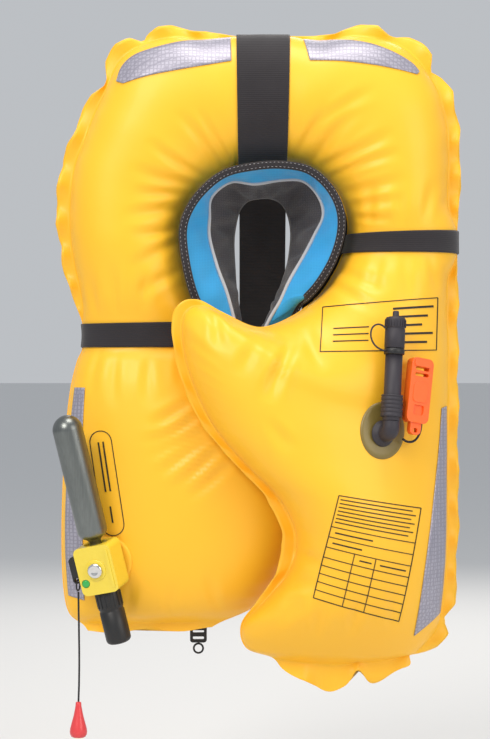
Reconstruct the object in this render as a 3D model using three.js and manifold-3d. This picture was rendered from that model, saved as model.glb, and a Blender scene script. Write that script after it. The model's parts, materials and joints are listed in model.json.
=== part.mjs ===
// Automatic inflatable life jacket, inflated, with its collar, harness, inflator and oral tube.
// Millimetres. +Z up, the front of the jacket faces -Y, origin at the middle of the neck opening.
import * as THREE from 'three';
import { mergeVertices } from 'three/addons/utils/BufferGeometryUtils.js';
import Module from 'manifold-3d';

const wasm = await Module();
wasm.setup();

// ---------------------------------------------------------------- driving dimensions
const gap = 0.3;                    // between pieces that touch
const drawnSize = { width: 421, height: 692 };    // the size that the stations are drawn at
const bladder = { width: 421, height: 692, depthScale: 1, seam: 1.5 };
const nearlyNoFlange = 1.2;
const band = { thickness: 1.6, lift: 0.7 };
const tape = { thickness: 0.5, lift: 0.7 };
const panel = { y: 4, thickness: 3, slit: 42, bottom: -335, top: 172 };
const webbing = { width: 38, thickness: 1.6 };
const backStrap = { width: 50, thickness: 1.6 };
const waist = { z: -285, front: 10.4, back: 190, halfWidth: 165, corner: 45 };
const buckle = { height: 50, thickness: 12, female: 36, male: 14, tongueHeight: 30 };
const tail = { x: -69, width: 16, thickness: 1.6, top: -307, bottom: -414 };
const collar = { binding: 6, bindingDepth: 4.5, cloth: 1.6, piping: 4, pipingY: -60, liningY: 0 };
const inflator = { x: -160, z: -334, tilt: 11.5, width: 40, height: 50, depth: 34, edge: 6 };
const patch = { diameter: 52, thickness: 1.2, standoff: 3.5 };
const stem = { diameter: 12, nutDiameter: 15.5, nutHeight: 5 };
const cylinder = { diameter: 31, length: 131, neck: 12.7, neckLength: 16, recess: 5 };
const capsule = { diameter: 26, length: 56, wall: 1.8, socket: 19, thread: 8 };
const lever = { width: 6, hole: 4, pin: 3 };
const cord = { diameter: 2, ring: 11, ringRod: 1.6 };
const toggle = { length: 37, diameter: 18 };
const oral = { x: 118, z: -198, tilt: 5.9, tube: 17.5, length: 76, wall: 1.8, standoff: 16 };
const whistleSize = { length: 78, width: 26, thickness: 10 };
const clearance = 0.4;              // round a moving piece

const stretchX = bladder.width / drawnSize.width;
const stretchZ = bladder.height / drawnSize.height;

// ---------------------------------------------------------------- materials
const finish = (color, roughness, metalness = 0) =>
  new THREE.MeshStandardMaterial({ color, roughness, metalness });
const finishes = {
  bladder: finish(0xfcc63c, 0.45), elastic: finish(0x221f24, 0.9), tape: finish(0xb9b6bd, 0.5),
  blue: finish(0x2fa3e6, 0.8), lining: finish(0x3f3d44, 0.95), piping: finish(0xc9ccd2, 0.6),
  black: finish(0x1b1c1e, 0.5), yellow: finish(0xeed74d, 0.4), steel: finish(0x5f5b5c, 0.35, 0.9),
  chrome: finish(0xd8d8d8, 0.15, 1), green: finish(0x2fae4c, 0.3), red: finish(0xe4494e, 0.4),
  orange: finish(0xff6a20, 0.4), rubber: finish(0x35323a, 0.7), olive: finish(0x8c7a40, 0.6),
  white: finish(0xe9e7df, 0.5),
};

// ---------------------------------------------------------------- geometry helpers
const signedVolume = (points, index) => {
  let sum = 0;
  for (let i = 0; i < index.length; i += 3) {
    const [a, b, c] = [points[index[i]], points[index[i + 1]], points[index[i + 2]]];
    sum += a.dot(new THREE.Vector3().crossVectors(b, c));
  }
  return sum;
};

const closed = (points, index) => {
  const order = signedVolume(points, index) < 0 ? index.toReversed() : index;
  const geometry = new THREE.BufferGeometry().setFromPoints(points);
  geometry.setIndex(order);
  geometry.computeVertexNormals();
  return geometry;
};

// Joins rings of equal length; an open run is capped at both ends, a wrapped one closes on itself.
const loft = (rings, wrap = false) => {
  const count = rings[0].length;
  const points = rings.flat();
  const index = [];
  const runs = wrap ? rings.length : rings.length - 1;
  for (let i = 0; i < runs; i += 1) {
    const a = i * count;
    const b = ((i + 1) % rings.length) * count;
    for (let j = 0; j < count; j += 1) {
      const k = (j + 1) % count;
      index.push(a + j, a + k, b + k, a + j, b + k, b + j);
    }
  }
  if (!wrap) {
    const last = (rings.length - 1) * count;
    capOf(rings[0]).forEach(([p, q, r]) => index.push(p, r, q));
    capOf(rings.at(-1)).forEach(([p, q, r]) => index.push(last + p, last + q, last + r));
  }
  return closed(points, index);
};

// Triangles over one flat ring, seen along its own normal.
const capOf = (ring) => {
  const normal = new THREE.Vector3();
  ring.forEach((p, i) => normal.add(new THREE.Vector3().crossVectors(p, ring[(i + 1) % ring.length])));
  normal.normalize();
  const right = new THREE.Vector3(normal.z, normal.x, normal.y).cross(normal).normalize();
  const up = new THREE.Vector3().crossVectors(normal, right);
  return THREE.ShapeUtils.triangulateShape(ring.map((p) => new THREE.Vector2(p.dot(right), p.dot(up))), []);
};

const toSolid = (geometry) => {
  const bare = geometry.clone();
  ['normal', 'uv'].forEach((name) => bare.deleteAttribute(name));
  const merged = mergeVertices(bare, 1e-4);
  const index = [];
  for (let i = 0; i < merged.index.count; i += 3) {
    const [a, b, c] = [0, 1, 2].map((n) => merged.index.getX(i + n));
    if (a !== b && b !== c && a !== c) index.push(a, b, c);
  }
  return new wasm.Manifold(new wasm.Mesh({
    numProp: 3,
    vertProperties: new Float32Array(merged.attributes.position.array),
    triVerts: new Uint32Array(index),
  }));
};

const fromSolid = (solid) => {
  const { vertProperties, triVerts } = solid.getMesh();
  const geometry = new THREE.BufferGeometry();
  geometry.setAttribute('position', new THREE.BufferAttribute(vertProperties, 3));
  geometry.setIndex(new THREE.BufferAttribute(triVerts, 1));
  geometry.computeVertexNormals();
  return geometry;
};

const cut = (body, ...tools) => fromSolid(tools.reduce((s, t) => s.subtract(toSolid(t)), toSolid(body)));
const join = (body, ...others) => fromSolid(others.reduce((s, t) => s.add(toSolid(t)), toSolid(body)));

const box = (x, y, z, at = [0, 0, 0]) => new THREE.BoxGeometry(x, y, z).translate(...at);

// A turned piece: profile points are [radius, height], the axis is +Z.
const turned = (profile, sides = 24) => {
  const points = profile.map(([r, z]) => new THREE.Vector2(r, z));
  return new THREE.LatheGeometry(points, sides).rotateX(Math.PI / 2);
};

const rod = (radius, bottom, top, sides = 24) =>
  turned([[0, bottom], [radius, bottom], [radius, top], [0, top]], sides);

const tubeRing = (inner, outer, bottom, top, sides = 24) =>
  turned([[inner, bottom], [outer, bottom], [outer, top], [inner, top], [inner, bottom]], sides);

// A plate in the XZ plane with round corners, from y to y + thickness.
const roundedPlate = (width, height, radius, y, thickness) => {
  const [w, h] = [width / 2, height / 2];
  const shape = new THREE.Shape();
  shape.moveTo(-w + radius, -h).lineTo(w - radius, -h);
  shape.absarc(w - radius, -h + radius, radius, -Math.PI / 2, 0);
  shape.lineTo(w, h - radius).absarc(w - radius, h - radius, radius, 0, Math.PI / 2);
  shape.lineTo(-w + radius, h).absarc(-w + radius, h - radius, radius, Math.PI / 2, Math.PI);
  shape.lineTo(-w, -h + radius).absarc(-w + radius, -h + radius, radius, Math.PI, Math.PI * 1.5);
  return plate(shape, y, thickness);
};

const plate = (shape, y, thickness, curveSegments = 5) =>
  new THREE.ExtrudeGeometry(shape, { depth: thickness, bevelEnabled: false, curveSegments })
    .rotateX(Math.PI / 2).translate(0, y + thickness, 0);

const outline = (points) => new THREE.Shape(points.map(([x, z]) => new THREE.Vector2(x, z)));

// A round cord or bent rod along a list of points.
const cordAlong = (points, diameter, sides, steps) => {
  const curve = new THREE.CatmullRomCurve3(points, false, 'centripetal');
  const section = new THREE.Shape();
  section.absarc(0, 0, diameter / 2, 0, Math.PI * 2);
  return new THREE.ExtrudeGeometry(section, {
    extrudePath: curve, steps, curveSegments: sides / 2, bevelEnabled: false,
  });
};

// Flat webbing along a path: each path row is a point and the direction of its width.
const webbingAlong = (rows, width, thickness) => loft(rows.map(({ at, across }, i) => {
  const before = rows[Math.max(i - 1, 0)].at;
  const after = rows[Math.min(i + 1, rows.length - 1)].at;
  const along = after.clone().sub(before).normalize();
  const w = across.clone().normalize().multiplyScalar(width / 2);
  const t = new THREE.Vector3().crossVectors(along, across).normalize().multiplyScalar(thickness / 2);
  return [[1, 1], [-1, 1], [-1, -1], [1, -1]].map(([a, b]) =>
    at.clone().addScaledVector(w, a).addScaledVector(t, b));
}));

const group = new THREE.Group();
const add = (name, geometry, material, parent = group) => {
  const mesh = new THREE.Mesh(geometry, material);
  mesh.name = name;
  parent.add(mesh);
  return mesh;
};

// ---------------------------------------------------------------- bladder
// Stations run from the left lobe's bottom seam, over the neck, to the right lobe's bottom seam.
// Each row: outer [x, z], inner [x, z], front and back bulge, outer and inner edge y,
// outer and inner flange width, and how far the section sags between its edges.
const stations = [
  [[-184, -412], [-54, -409], 0.8, 0.8, -45, -45, 1, 1, 0],
  [[-190, -404], [-42, -401], 0.8, 0.8, -45, -45, 1, 1, 0],
  [[-204, -392], [-10, -386], 27, 22, -45, -45, 1, 1, 0],
  [[-210, -366], [14, -360], 44, 34, -45, -45, 1, 1, 0],
  [[-212, -320], [32, -318], 55, 42, -45, -45, 1, 1, 0],
  [[-211, -262], [36, -260], 58, 44, -45, -45, 1, 1, 0],
  [[-208, -204], [18, -204], 58, 44, -45, -45, 1, 1, 0],
  [[-203, -158], [-14, -160], 53, 41, -45, -45, 1, 1, 0],
  [[-196, -128], [-40, -130], 45, 38, -45, -45, 1, 1, 0],
  [[-190, -113], [-50, -113], 38, 34, -45, -45, 1, 1, 0],
  [[-190, -88], [-62, -86], 38, 34, -45, -45, 1, 1, 0],
  [[-200, -60], [-76, -52], 46, 38, -46, -46, 10, 1, 0],
  [[-213, -10], [-86, -12], 52, 42, -47, -47, 13, 1, 0],
  [[-215, 33], [-86, 12], 52, 42, -48, -48, 13, 1, 0],
  [[-210, 78], [-80, 33], 52, 43, -48, -48, 13, 1, 0],
  [[-196, 117], [-69, 49], 52, 43, -49, -49, 13, 1, 0],
  [[-178, 156], [-57, 61], 52, 43, -50, -50, 12, 1, 0],
  [[-152, 202], [-44, 70], 52, 43, -50, -50, 12, 1, 0],
  [[-105, 222], [-36, 75], 52, 43, -50, -50, 12, 1, 0],
  [[-60, 218], [-30, 77.5], 52, 43, -50, -50, 8, 1, 0],
  [[-28, 214], [-26, 79], 50, 42, -50, -50, 1, 1, 0],
  [[0, 214], [0, 81], 50, 42, -50, -50, 1, 1, 0],
  [[28, 214], [25, 81.5], 50, 42, -50, -50, 1, 1, 0],
  [[61, 216], [32, 81], 52, 43, -50, -50, 8, 1, 0],
  [[105, 224], [41, 79], 52, 43, -50, -50, 12, 1, 0],
  [[153, 211], [50, 75], 52, 43, -50, -50, 12, 1, 0],
  [[189, 171], [62, 67], 53, 43, -50, -50, 13, 1, 0],
  [[203, 126], [73, 56], 53, 43, -50, -50, 13, 1, 0],
  [[206, 82], [82, 41], 53, 43, -50, -50, 13, 1, 0],
  [[206, 40], [88, 22], 53, 43, -50, -50, 13, 1, 0],
  [[204, 9], [88, 5], 50, 42, -50, -50, 1, 1, 0],
  [[204, -15], [83, -15], 50, 42, -50, -50, 1, 1, 0],
  [[204, -42], [73, -36], 58, 45, -52, -54, 11, 1, 0],
  [[204, -68], [57, -59], 64, 45, -53, -60, 12, 1, 0],
  [[204, -90], [30, -80], 68, 45, -54, -72, 12, 1, -15],
  [[204, -110], [-4, -92], 72, 48, -55, -90, 12, 2, -45],
  [[204, -128], [-38, -79], 75, 52, -55, -104, 12, 6, -75],
  [[204, -146], [-68, -64], 77, 56, -55, -112, 12, 10, -92],
  [[204, -165], [-88, -70], 78, 60, -55, -114, 12, 12, -92],
  [[204, -188], [-94, -96], 80, 64, -55, -114, 12, 14, -70],
  [[204, -213], [-87, -138], 82, 67, -55, -114, 12, 15, -42],
  [[204, -242], [-66, -188], 83, 70, -55, -114, 12, 16, -22],
  [[204, -272], [-32, -230], 84, 72, -55, -113, 12, 16, -10],
  [[204, -302], [0, -264], 84, 72, -55, -111, 12, 16, 0],
  [[203, -332], [18, -302], 82, 70, -55, -108, 12, 16, 0],
  [[201, -360], [15, -338], 76, 62, -56, -106, 12, 14, 0],
  [[198, -386], [-4, -371], 66, 50, -57, -104, 12, 8, 0],
  [[192, -410], [-23, -398], 48, 34, -58, -100, 13, 2, 0],
  [[172, -431], [-18, -423], 22, 16, -60, -94, 13, 2, -6],
  [[154, -434], [9, -434], 0.8, 0.8, -62, -88, 2, 2, -18],
  [[152, -447], [20, -446], 0.8, 0.8, -63, -86, 2, 2, -20],
  [[124, -457], [38, -458], 0.8, 0.8, -64, -84, 2, 2, -20],
];
const spot = { leftBand: [9, 10], napeBand: [20, 22], rightBand: [30, 31] };
const overlapFrom = 34;                             // from here the right lobe lies over the left one

const flat = ([x, z], y) => new THREE.Vector3(x * stretchX, y * bladder.depthScale, z * stretchZ);
const steps = 8;
const across = Array.from({ length: steps + 1 }, (_, k) => (1 - Math.cos((Math.PI * k) / steps)) / 2);
const ease = (x, from, to) => THREE.MathUtils.smoothstep(x, from, to);

const bladderSection = ([outer, inner, front, back, outerY, innerY, outerFlange, innerFlange, sag], row) => {
  const [from, to] = [flat(inner, innerY), flat(outer, outerY)];
  const middle = from.clone().add(to).multiplyScalar(0.5).add(new THREE.Vector3(0, 0, sag * stretchZ));
  const away = (target, source, width) => {
    const step = target.clone().sub(source).normalize();
    return source.clone().addScaledVector(step, Math.max(width, nearlyNoFlange));
  };
  const [start, end] = [away(middle, from, innerFlange), away(middle, to, outerFlange)];
  const curve = new THREE.QuadraticBezierCurve3(start, middle, end);
  const overlap = row >= overlapFrom;
  const seam = bladder.seam / 2;
  const at = (t, side) => {
    const bulge = Math.sqrt(Math.max(0, 1 - (2 * t - 1) ** 2));
    const depth = side < 0 ? front * bulge : back * bulge * (overlap ? ease(t, 0.12, 0.5) : 1);
    return curve.getPoint(t).add(new THREE.Vector3(0, side * (seam + depth * bladder.depthScale), 0));
  };
  const tip = (p, side) => p.clone().add(new THREE.Vector3(0, side * seam, 0));
  return [
    tip(from, -1), ...across.map((t) => at(t, -1)), tip(to, -1),
    tip(to, 1), ...across.toReversed().map((t) => at(t, 1)), tip(from, 1),
  ];
};

const bladderRings = stations.map(bladderSection);
const ringSize = bladderRings[0].length;
const bladderGeometry = loft(bladderRings);
add('bladder', bladderGeometry, finishes.bladder);

const bladderNormals = bladderGeometry.attributes.normal;
const lifted = (row, column, lift) => {
  const i = row * ringSize + column;
  return bladderRings[row][column].clone().add(new THREE.Vector3().fromBufferAttribute(bladderNormals, i)
    .multiplyScalar(lift));
};
const frontColumn = (k) => k + 1;                   // column of the k-th point across the front

const caster = new THREE.Raycaster();
const bladderMesh = new THREE.Mesh(bladderGeometry, new THREE.MeshBasicMaterial({ side: THREE.DoubleSide }));
const frontHit = (x, z) => {
  caster.set(new THREE.Vector3(x * stretchX, -1000, z * stretchZ), new THREE.Vector3(0, 1, 0));
  return caster.intersectObject(bladderMesh)[0].point;
};
// The front surface's point and outward normal, from three points of it round the place.
const frontPlane = (x, z, reach) => {
  const round = [[-reach, -reach / 2], [reach, -reach / 2], [0, reach]];
  const [a, b, c] = round.map(([dx, dz]) => frontHit(x + dx, z + dz));
  const normal = b.clone().sub(a).cross(c.clone().sub(a)).normalize();
  if (normal.y > 0) normal.negate();
  return { at: frontHit(x, z), normal };
};

// ---------------------------------------------------------------- bands and reflective tape
const addBand = (name, [first, last]) => {
  const inner = [];
  const outer = [];
  for (let row = first; row <= last; row += 1) {
    const columns = Array.from({ length: ringSize }, (_, c) => c);
    inner.push(columns.map((c) => lifted(row, c, band.lift)));
    outer.push(columns.map((c) => lifted(row, c, band.lift + band.thickness)));
  }
  add(name, loft([...outer, ...inner.toReversed()], true), finishes.elastic);
};
addBand('left_lobe_band', spot.leftBand);
addBand('nape_band', spot.napeBand);
addBand('right_lobe_band', spot.rightBand);

const addTape = (name, rows, [firstAcross, lastAcross]) => {
  const ringAt = (row) => {
    const columns = [];
    for (let k = firstAcross; k <= lastAcross; k += 1) columns.push(frontColumn(k));
    return [...columns.map((c) => lifted(row, c, tape.lift)),
      ...columns.toReversed().map((c) => lifted(row, c, tape.lift + tape.thickness))];
  };
  const rings = [];
  for (let row = rows[0]; row <= rows[1]; row += 1) rings.push(ringAt(row));
  add(name, loft(rings), finishes.tape);
};
addTape('reflective_tape_top_left', [16, 19], [6, 8]);
addTape('reflective_tape_top_right', [23, 26], [6, 8]);
addTape('reflective_tape_left', [2, 7], [6, 8]);
addTape('reflective_tape_right', [39, 47], [7, 8]);

// ---------------------------------------------------------------- collar
// Each row follows the neck opening round: rim [x, z, y], piping [x, z], lining's back edge [x, z].
const collarRows = [
  [[-58, -86, -84], [-30, -84], [-22, -84]], [[-71, -60, -90], [-38, -55], [-27, -54]],
  [[-79, -30, -95], [-48, -28], [-29, -26]], [[-83, 5, -95], [-56, 2], [-30, 0]],
  [[-77, 28, -95], [-56, 22], [-28, 18]], [[-62, 49, -95], [-54, 44], [-24, 33]],
  [[-40, 66, -95], [-34, 60], [-16, 43]], [[-12, 73, -97], [-8, 58], [-4, 46]],
  [[18, 75, -97], [18, 62], [9, 46]], [[46, 70, -96], [42, 61], [20, 40]],
  [[67, 53, -95], [58, 45], [26, 29]], [[79, 30, -95], [63, 25], [29, 15]],
  [[80, 5, -94], [54, 5], [29, 0]], [[72, -22, -91], [42, -18], [26, -22]],
  [[58, -46, -86], [28, -42], [20, -42]], [[46, -60, -77], [18, -64], [12, -64]],
  [[38, -67, -60], [8, -81], [4, -80]], [[26, -88, -46], [0, -97], [-2, -96]],
];
const collarSteps = 26;
const collarCurve = (pick) => new THREE.CatmullRomCurve3(collarRows.map(pick), false, 'centripetal');
const rimCurve = collarCurve(([rim]) => flat([rim[0], rim[1]], rim[2]));
const pipingCurve = collarCurve(([, pipe]) => flat(pipe, collar.pipingY));
const liningCurve = collarCurve(([, , line]) => flat(line, collar.liningY));

// Section in the plane of the outward direction and y.
const alongCollar = (make) => Array.from({ length: collarSteps + 1 }, (_, i) => make(i / collarSteps));
const collarRing = (curve, radialSize, depthSize) => alongCollar((share) => {
  const p = curve.getPoint(share);
  const out = new THREE.Vector3(p.x, 0, p.z).normalize();
  const corner = (a, b) => p.clone().addScaledVector(out, (a * radialSize) / 2)
    .add(new THREE.Vector3(0, b * depthSize / 2, 0));
  return [corner(-1, -0.5), corner(-0.5, -1), corner(0.5, -1), corner(1, -0.5),
    corner(1, 0.5), corner(0.5, 1), corner(-0.5, 1), corner(-1, 0.5)];
});
const funnel = (front, back, thickness, frontTrim, backTrim) =>
  loft(alongCollar((share) => {
    const [p, q] = [front.getPoint(share), back.getPoint(share)];
    const along = q.clone().sub(p).normalize();
    const [a, b] = [p.addScaledVector(along, frontTrim), q.addScaledVector(along, -backTrim)];
    const lift = front.getTangent(share).cross(along).normalize().multiplyScalar(thickness / 2);
    return [a.clone().add(lift), a.clone().sub(lift), b.clone().sub(lift), b.clone().add(lift)];
  }));
add('collar_binding', loft(collarRing(rimCurve, collar.binding, collar.bindingDepth)), finishes.elastic);
add('collar_cover', funnel(rimCurve, pipingCurve, collar.cloth, collar.binding + 2, collar.piping),
  finishes.blue);
add('collar_piping', loft(collarRing(pipingCurve, collar.piping, collar.piping)), finishes.piping);
add('collar_lining', funnel(pipingCurve, liningCurve, collar.cloth, collar.piping, 0), finishes.lining);

// ---------------------------------------------------------------- cover panel and harness
const panelBack = panel.y + panel.thickness;
const panelOutline = outline([
  [panel.slit, panel.bottom], [140, panel.bottom], [158, -300], [160, -200], [150, -90], [158, 20],
  [150, 90], [110, 150], [55, panel.top], [-55, panel.top], [-110, 150], [-150, 90], [-160, 20],
  [-150, -90], [-165, -200], [-165, -300], [-150, panel.bottom], [-panel.slit, panel.bottom],
  [-panel.slit, -95], [-46, -50], [-52, 0], [-48, 34], [-28, 58], [0, 62], [30, 58], [52, 32], [50, 0],
  [44, -50], [panel.slit, -95],
].map(([x, z]) => [x * stretchX, z * stretchZ]));
add('cover_back_panel', plate(panelOutline, panel.y, panel.thickness), finishes.lining);

const up = new THREE.Vector3(0, 0, 1);
const waistZ = waist.z * stretchZ;
const beltRow = (x, y) => ({ at: new THREE.Vector3(x, y, waistZ), across: up });
const halfWidth = waist.halfWidth * stretchX;
const corner = (side, y, from) => Array.from({ length: 7 }, (_, i) => {
  const turn = (Math.PI / 2) * (from === 'front' ? i / 6 : 1 - i / 6);
  const centre = from === 'front' ? y + waist.corner : y - waist.corner;
  const sign = from === 'front' ? -1 : 1;
  return beltRow(side * (halfWidth - waist.corner + waist.corner * Math.sin(turn)),
    centre + sign * waist.corner * Math.cos(turn));
});
const layer = webbing.thickness + gap;
const femaleEnd = -buckle.female + 6;
const maleEnd = buckle.male - 2;
const slider = { x: 74, width: 12, height: webbing.width + 8, slot: 2 * layer + 1.2, thickness: 8 };
add('waist_belt_left', webbingAlong(
  [beltRow(femaleEnd - 6 - gap, waist.front), ...corner(-1, waist.front, 'front'),
    ...corner(-1, waist.back, 'back'), beltRow(-gap, waist.back)],
  webbing.width, webbing.thickness,
), finishes.elastic);
add('waist_belt_right', webbingAlong(
  [beltRow(slider.x - 20, waist.front + layer), ...corner(1, waist.front + layer, 'front'),
    ...corner(1, waist.back, 'back'), beltRow(gap, waist.back)],
  webbing.width, webbing.thickness,
), finishes.elastic);
add('belt_webbing_front', webbingAlong(
  [maleEnd + 6 + gap, slider.x - 30, slider.x + 8].map((x) => beltRow(x, waist.front)),
  webbing.width, webbing.thickness,
), finishes.elastic);

// A flat frame that webbing passes through along X: outer block less its slot.
const sliderFrame = (x, y, width, thickness, slot, height) => cut(
  box(width, thickness, height, [x, y, waistZ]),
  box(width + 2, slot, webbing.width + 1.4, [x, y, waistZ]),
);
const twoLayerMiddle = waist.front + layer / 2;
add('belt_adjuster',
  sliderFrame(slider.x, twoLayerMiddle, slider.width, slider.thickness, slider.slot, slider.height),
  finishes.black);
add('back_strap_slider',
  sliderFrame(0, waist.back, 60, slider.thickness, webbing.thickness + 1.2, webbing.width + 10),
  finishes.black);

const loopSize = { x: 105, width: 24, height: webbing.width + 14 };
[['belt_loop_left', -1], ['belt_loop_right', 1]].forEach(([name, side]) => {
  const depth = 2 * layer + 3.4;
  const middle = panelBack + gap + depth / 2 + 0.8;
  add(name, cut(
    box(loopSize.width, depth + 1.6, loopSize.height, [side * loopSize.x * stretchX, middle, waistZ]),
    box(loopSize.width + 2, depth - 1.6, webbing.width + 4, [side * loopSize.x * stretchX, middle, waistZ]),
  ), finishes.elastic);
});

// Side-release buckle: the socket is fixed, the tongue slides out along +X.
const buckleY = waist.front;
const buckleBlock = (from, to, height, thickness) =>
  box(to - from, thickness, height, [(from + to) / 2, buckleY, waistZ]);
add('buckle_female', cut(
  buckleBlock(femaleEnd, maleEnd - 8 - gap, buckle.height, buckle.thickness),
  buckleBlock(femaleEnd + 5, maleEnd + 4, buckle.tongueHeight + 2 * clearance, 6 + 2 * clearance),
), finishes.black);
// The tongue's three prongs, drawn from the end of its block.
const tongue = outline([[-9, -15], [-20, -15], [-30, -12], [-30, -8], [-16, -9], [-16, -3], [-28, -3],
  [-28, 3], [-16, 3], [-16, 9], [-30, 8], [-30, 12], [-20, 15], [-9, 15]]
  .map(([x, z]) => [maleEnd + x, z]));
add('buckle_male', join(
  plate(tongue, buckleY - 3, 6).translate(0, 0, waistZ),
  buckleBlock(maleEnd - 8, maleEnd + 6, buckle.height - 4, buckle.thickness - 1),
  buckleBlock(maleEnd - 12, maleEnd, 20, 5),
), finishes.black);

// The back strap runs from the collar's neck edge down the wearer's back to the waist belt.
const strapPath = [[0, 10, 60], [0, 16, 40], [0, 40, 0], [0, 80, -60], [0, 130, -130], [0, 170, -200],
  [0, waist.back - 4.6, waist.z + 34]];
const strapRows = (points, acrossAxis) => {
  const curve = new THREE.CatmullRomCurve3(points.map(([x, y, z]) => new THREE.Vector3(x, y, z * stretchZ)));
  return Array.from({ length: 17 }, (_, i) => ({ at: curve.getPoint(i / 16), across: acrossAxis }));
};
add('back_strap', webbingAlong(strapRows(strapPath, new THREE.Vector3(1, 0, 0)), backStrap.width,
  backStrap.thickness), finishes.elastic);

// The strap end that hangs from the waist belt under the left lobe.
const tailY = waist.front + layer + 1;
add('belt_tail', box(tail.width, tail.thickness, tail.top - tail.bottom - gap,
  [tail.x * stretchX, tailY, waistZ - webbing.width / 2 - gap + (tail.bottom - tail.top) / 2]),
finishes.elastic);
const tailBottom = waistZ - webbing.width / 2 + (tail.bottom - tail.top) - 2 * gap;
add('tail_slider', cut(
  box(tail.width + 2, 6, 18, [tail.x * stretchX, tailY, tailBottom - 9]),
  box(tail.width - 4, 8, 3, [tail.x * stretchX, tailY, tailBottom - 13]),
), finishes.black);
add('tail_ring', new THREE.TorusGeometry(5, 1, 6, 18).translate(0, 0, 0).rotateX(Math.PI / 2)
  .translate(tail.x * stretchX, tailY, tailBottom - 18 - 6 - gap), finishes.black);

// ---------------------------------------------------------------- inflator
// Local frame: +Z along the gas cylinder, -Y away from the bladder.
const standing = (x, z, tilt, reach, standoff) => {
  const { at, normal } = frontPlane(x, z, reach);
  const lean = THREE.MathUtils.degToRad(tilt);
  const along = new THREE.Vector3(Math.sin(lean), 0, Math.cos(lean));
  along.addScaledVector(normal, -along.dot(normal)).normalize();
  const back = normal.clone().negate();
  const frame = new THREE.Group();
  frame.quaternion.setFromRotationMatrix(
    new THREE.Matrix4().makeBasis(new THREE.Vector3().crossVectors(back, along), back, along),
  );
  frame.position.copy(at.addScaledVector(normal, standoff));
  group.add(frame);
  return frame;
};
const head = standing(inflator.x, inflator.z, -inflator.tilt, 16, patch.standoff);
head.name = 'inflator_frame';
const onY = (geometry) => geometry.rotateX(Math.PI / 2);      // local +Z turned to -Y
const bodyMiddle = -(patch.thickness + gap + 2 + gap + inflator.depth / 2);
const bodyFront = bodyMiddle - inflator.depth / 2;
const bodyBack = bodyMiddle + inflator.depth / 2;
add('inflator_patch', cut(onY(rod(patch.diameter / 2, 0, patch.thickness)),
  onY(rod(stem.diameter / 2 + gap, -2, patch.thickness + 2))), finishes.olive, head);
add('manifold_stem', onY(rod(stem.diameter / 2, 0, -bodyFront + stem.nutHeight / 2)), finishes.chrome, head);
const gasketBack = patch.thickness + gap;
add('stem_gasket', onY(tubeRing(stem.diameter / 2 + gap, 10, gasketBack, gasketBack + 2)),
  finishes.rubber, head);
add('cap_nut', cut(
  onY(turned([[0, -bodyFront + gap], [stem.nutDiameter / 2, -bodyFront + gap],
    [stem.nutDiameter / 2, -bodyFront + stem.nutHeight - 1],
    [stem.nutDiameter / 2 - 1, -bodyFront + stem.nutHeight],
    [0, -bodyFront + stem.nutHeight]])),
  onY(rod(stem.diameter / 2 + gap, -bodyFront - 2, -bodyFront + stem.nutHeight / 2 + gap)),
), finishes.chrome, head);

const halfHeight = inflator.height / 2;
const pinChamber = { radius: 4.5, bottom: 7 };
const socketBottom = halfHeight - cylinder.neckLength + 3;
const leverSlot = { from: -inflator.width / 2 - 2, to: -9, bottom: -17, top: 18 };
const blockShape = roundedPlate(inflator.width, inflator.height, inflator.edge, bodyFront, inflator.depth);
const moveY = (geometry) => geometry.translate(0, bodyMiddle, 0);
add('inflator_body', cut(
  blockShape,
  onY(rod(stem.diameter / 2 + clearance, 0, -bodyFront + 4)),
  moveY(rod(pinChamber.radius, pinChamber.bottom, halfHeight + 2)),
  moveY(rod(cylinder.neck / 2 + clearance, socketBottom, halfHeight + 2)),
  moveY(rod(cylinder.diameter / 2 - 3, halfHeight - 3, halfHeight + 2)),
  moveY(rod(capsule.socket / 2 + clearance, -halfHeight - 2, -halfHeight + capsule.thread)),
  box(leverSlot.to - leverSlot.from, lever.width + 2 * clearance, leverSlot.top - leverSlot.bottom,
    [(leverSlot.to + leverSlot.from) / 2, bodyMiddle, (leverSlot.top + leverSlot.bottom) / 2]),
  box(8, lever.width + 2 * clearance, 10, [-18, bodyMiddle, -18]),
  onY(rod(lever.pin / 2 + gap, -bodyMiddle - 13, -bodyMiddle + 13, 12)).translate(-15, 0, 0),
  onY(rod(4 + gap, -bodyFront - 2.5, -bodyFront + 2, 16)).translate(-14, 0, -12),
), finishes.yellow, head);
add('status_indicator', onY(rod(4, -bodyFront - 2.5 + gap, -bodyFront + 1, 16)).translate(-14, 0, -12),
  finishes.green, head);

add('lever_pin', onY(rod(lever.pin / 2, -bodyMiddle - 12.7, -bodyMiddle + 12.7, 12)).translate(-15, 0, 0),
  finishes.chrome, head);
const leverShape = outline([[-11, -4], [-14, -5], [-22, -11], [-25, -13], [-31, -13], [-33, -10], [-33, 12],
  [-30, 15], [-25, 15], [-21.5, 8], [-14, 5], [-11, 4]]);
const leverHole = [-28.5, -9.5];
add('pull_lever', cut(
  plate(leverShape, bodyMiddle - lever.width / 2, lever.width),
  onY(rod(lever.pin / 2 + clearance, -bodyMiddle - 10, -bodyMiddle + 10, 12)).translate(-15, 0, 0),
  onY(rod(lever.hole / 2 + clearance, -bodyMiddle - 10, -bodyMiddle + 10, 12))
    .translate(leverHole[0], 0, leverHole[1]),
), finishes.black, head);

const pinTop = socketBottom + cylinder.recess * 0.2;
add('piercing_pin', moveY(turned([[0, pinChamber.bottom + gap], [4, pinChamber.bottom + gap],
  [4, pinChamber.bottom + 1.5], [1.2, pinChamber.bottom + 1.5], [1.2, pinTop - 1.5], [0, pinTop]], 12)),
finishes.chrome, head);

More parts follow.
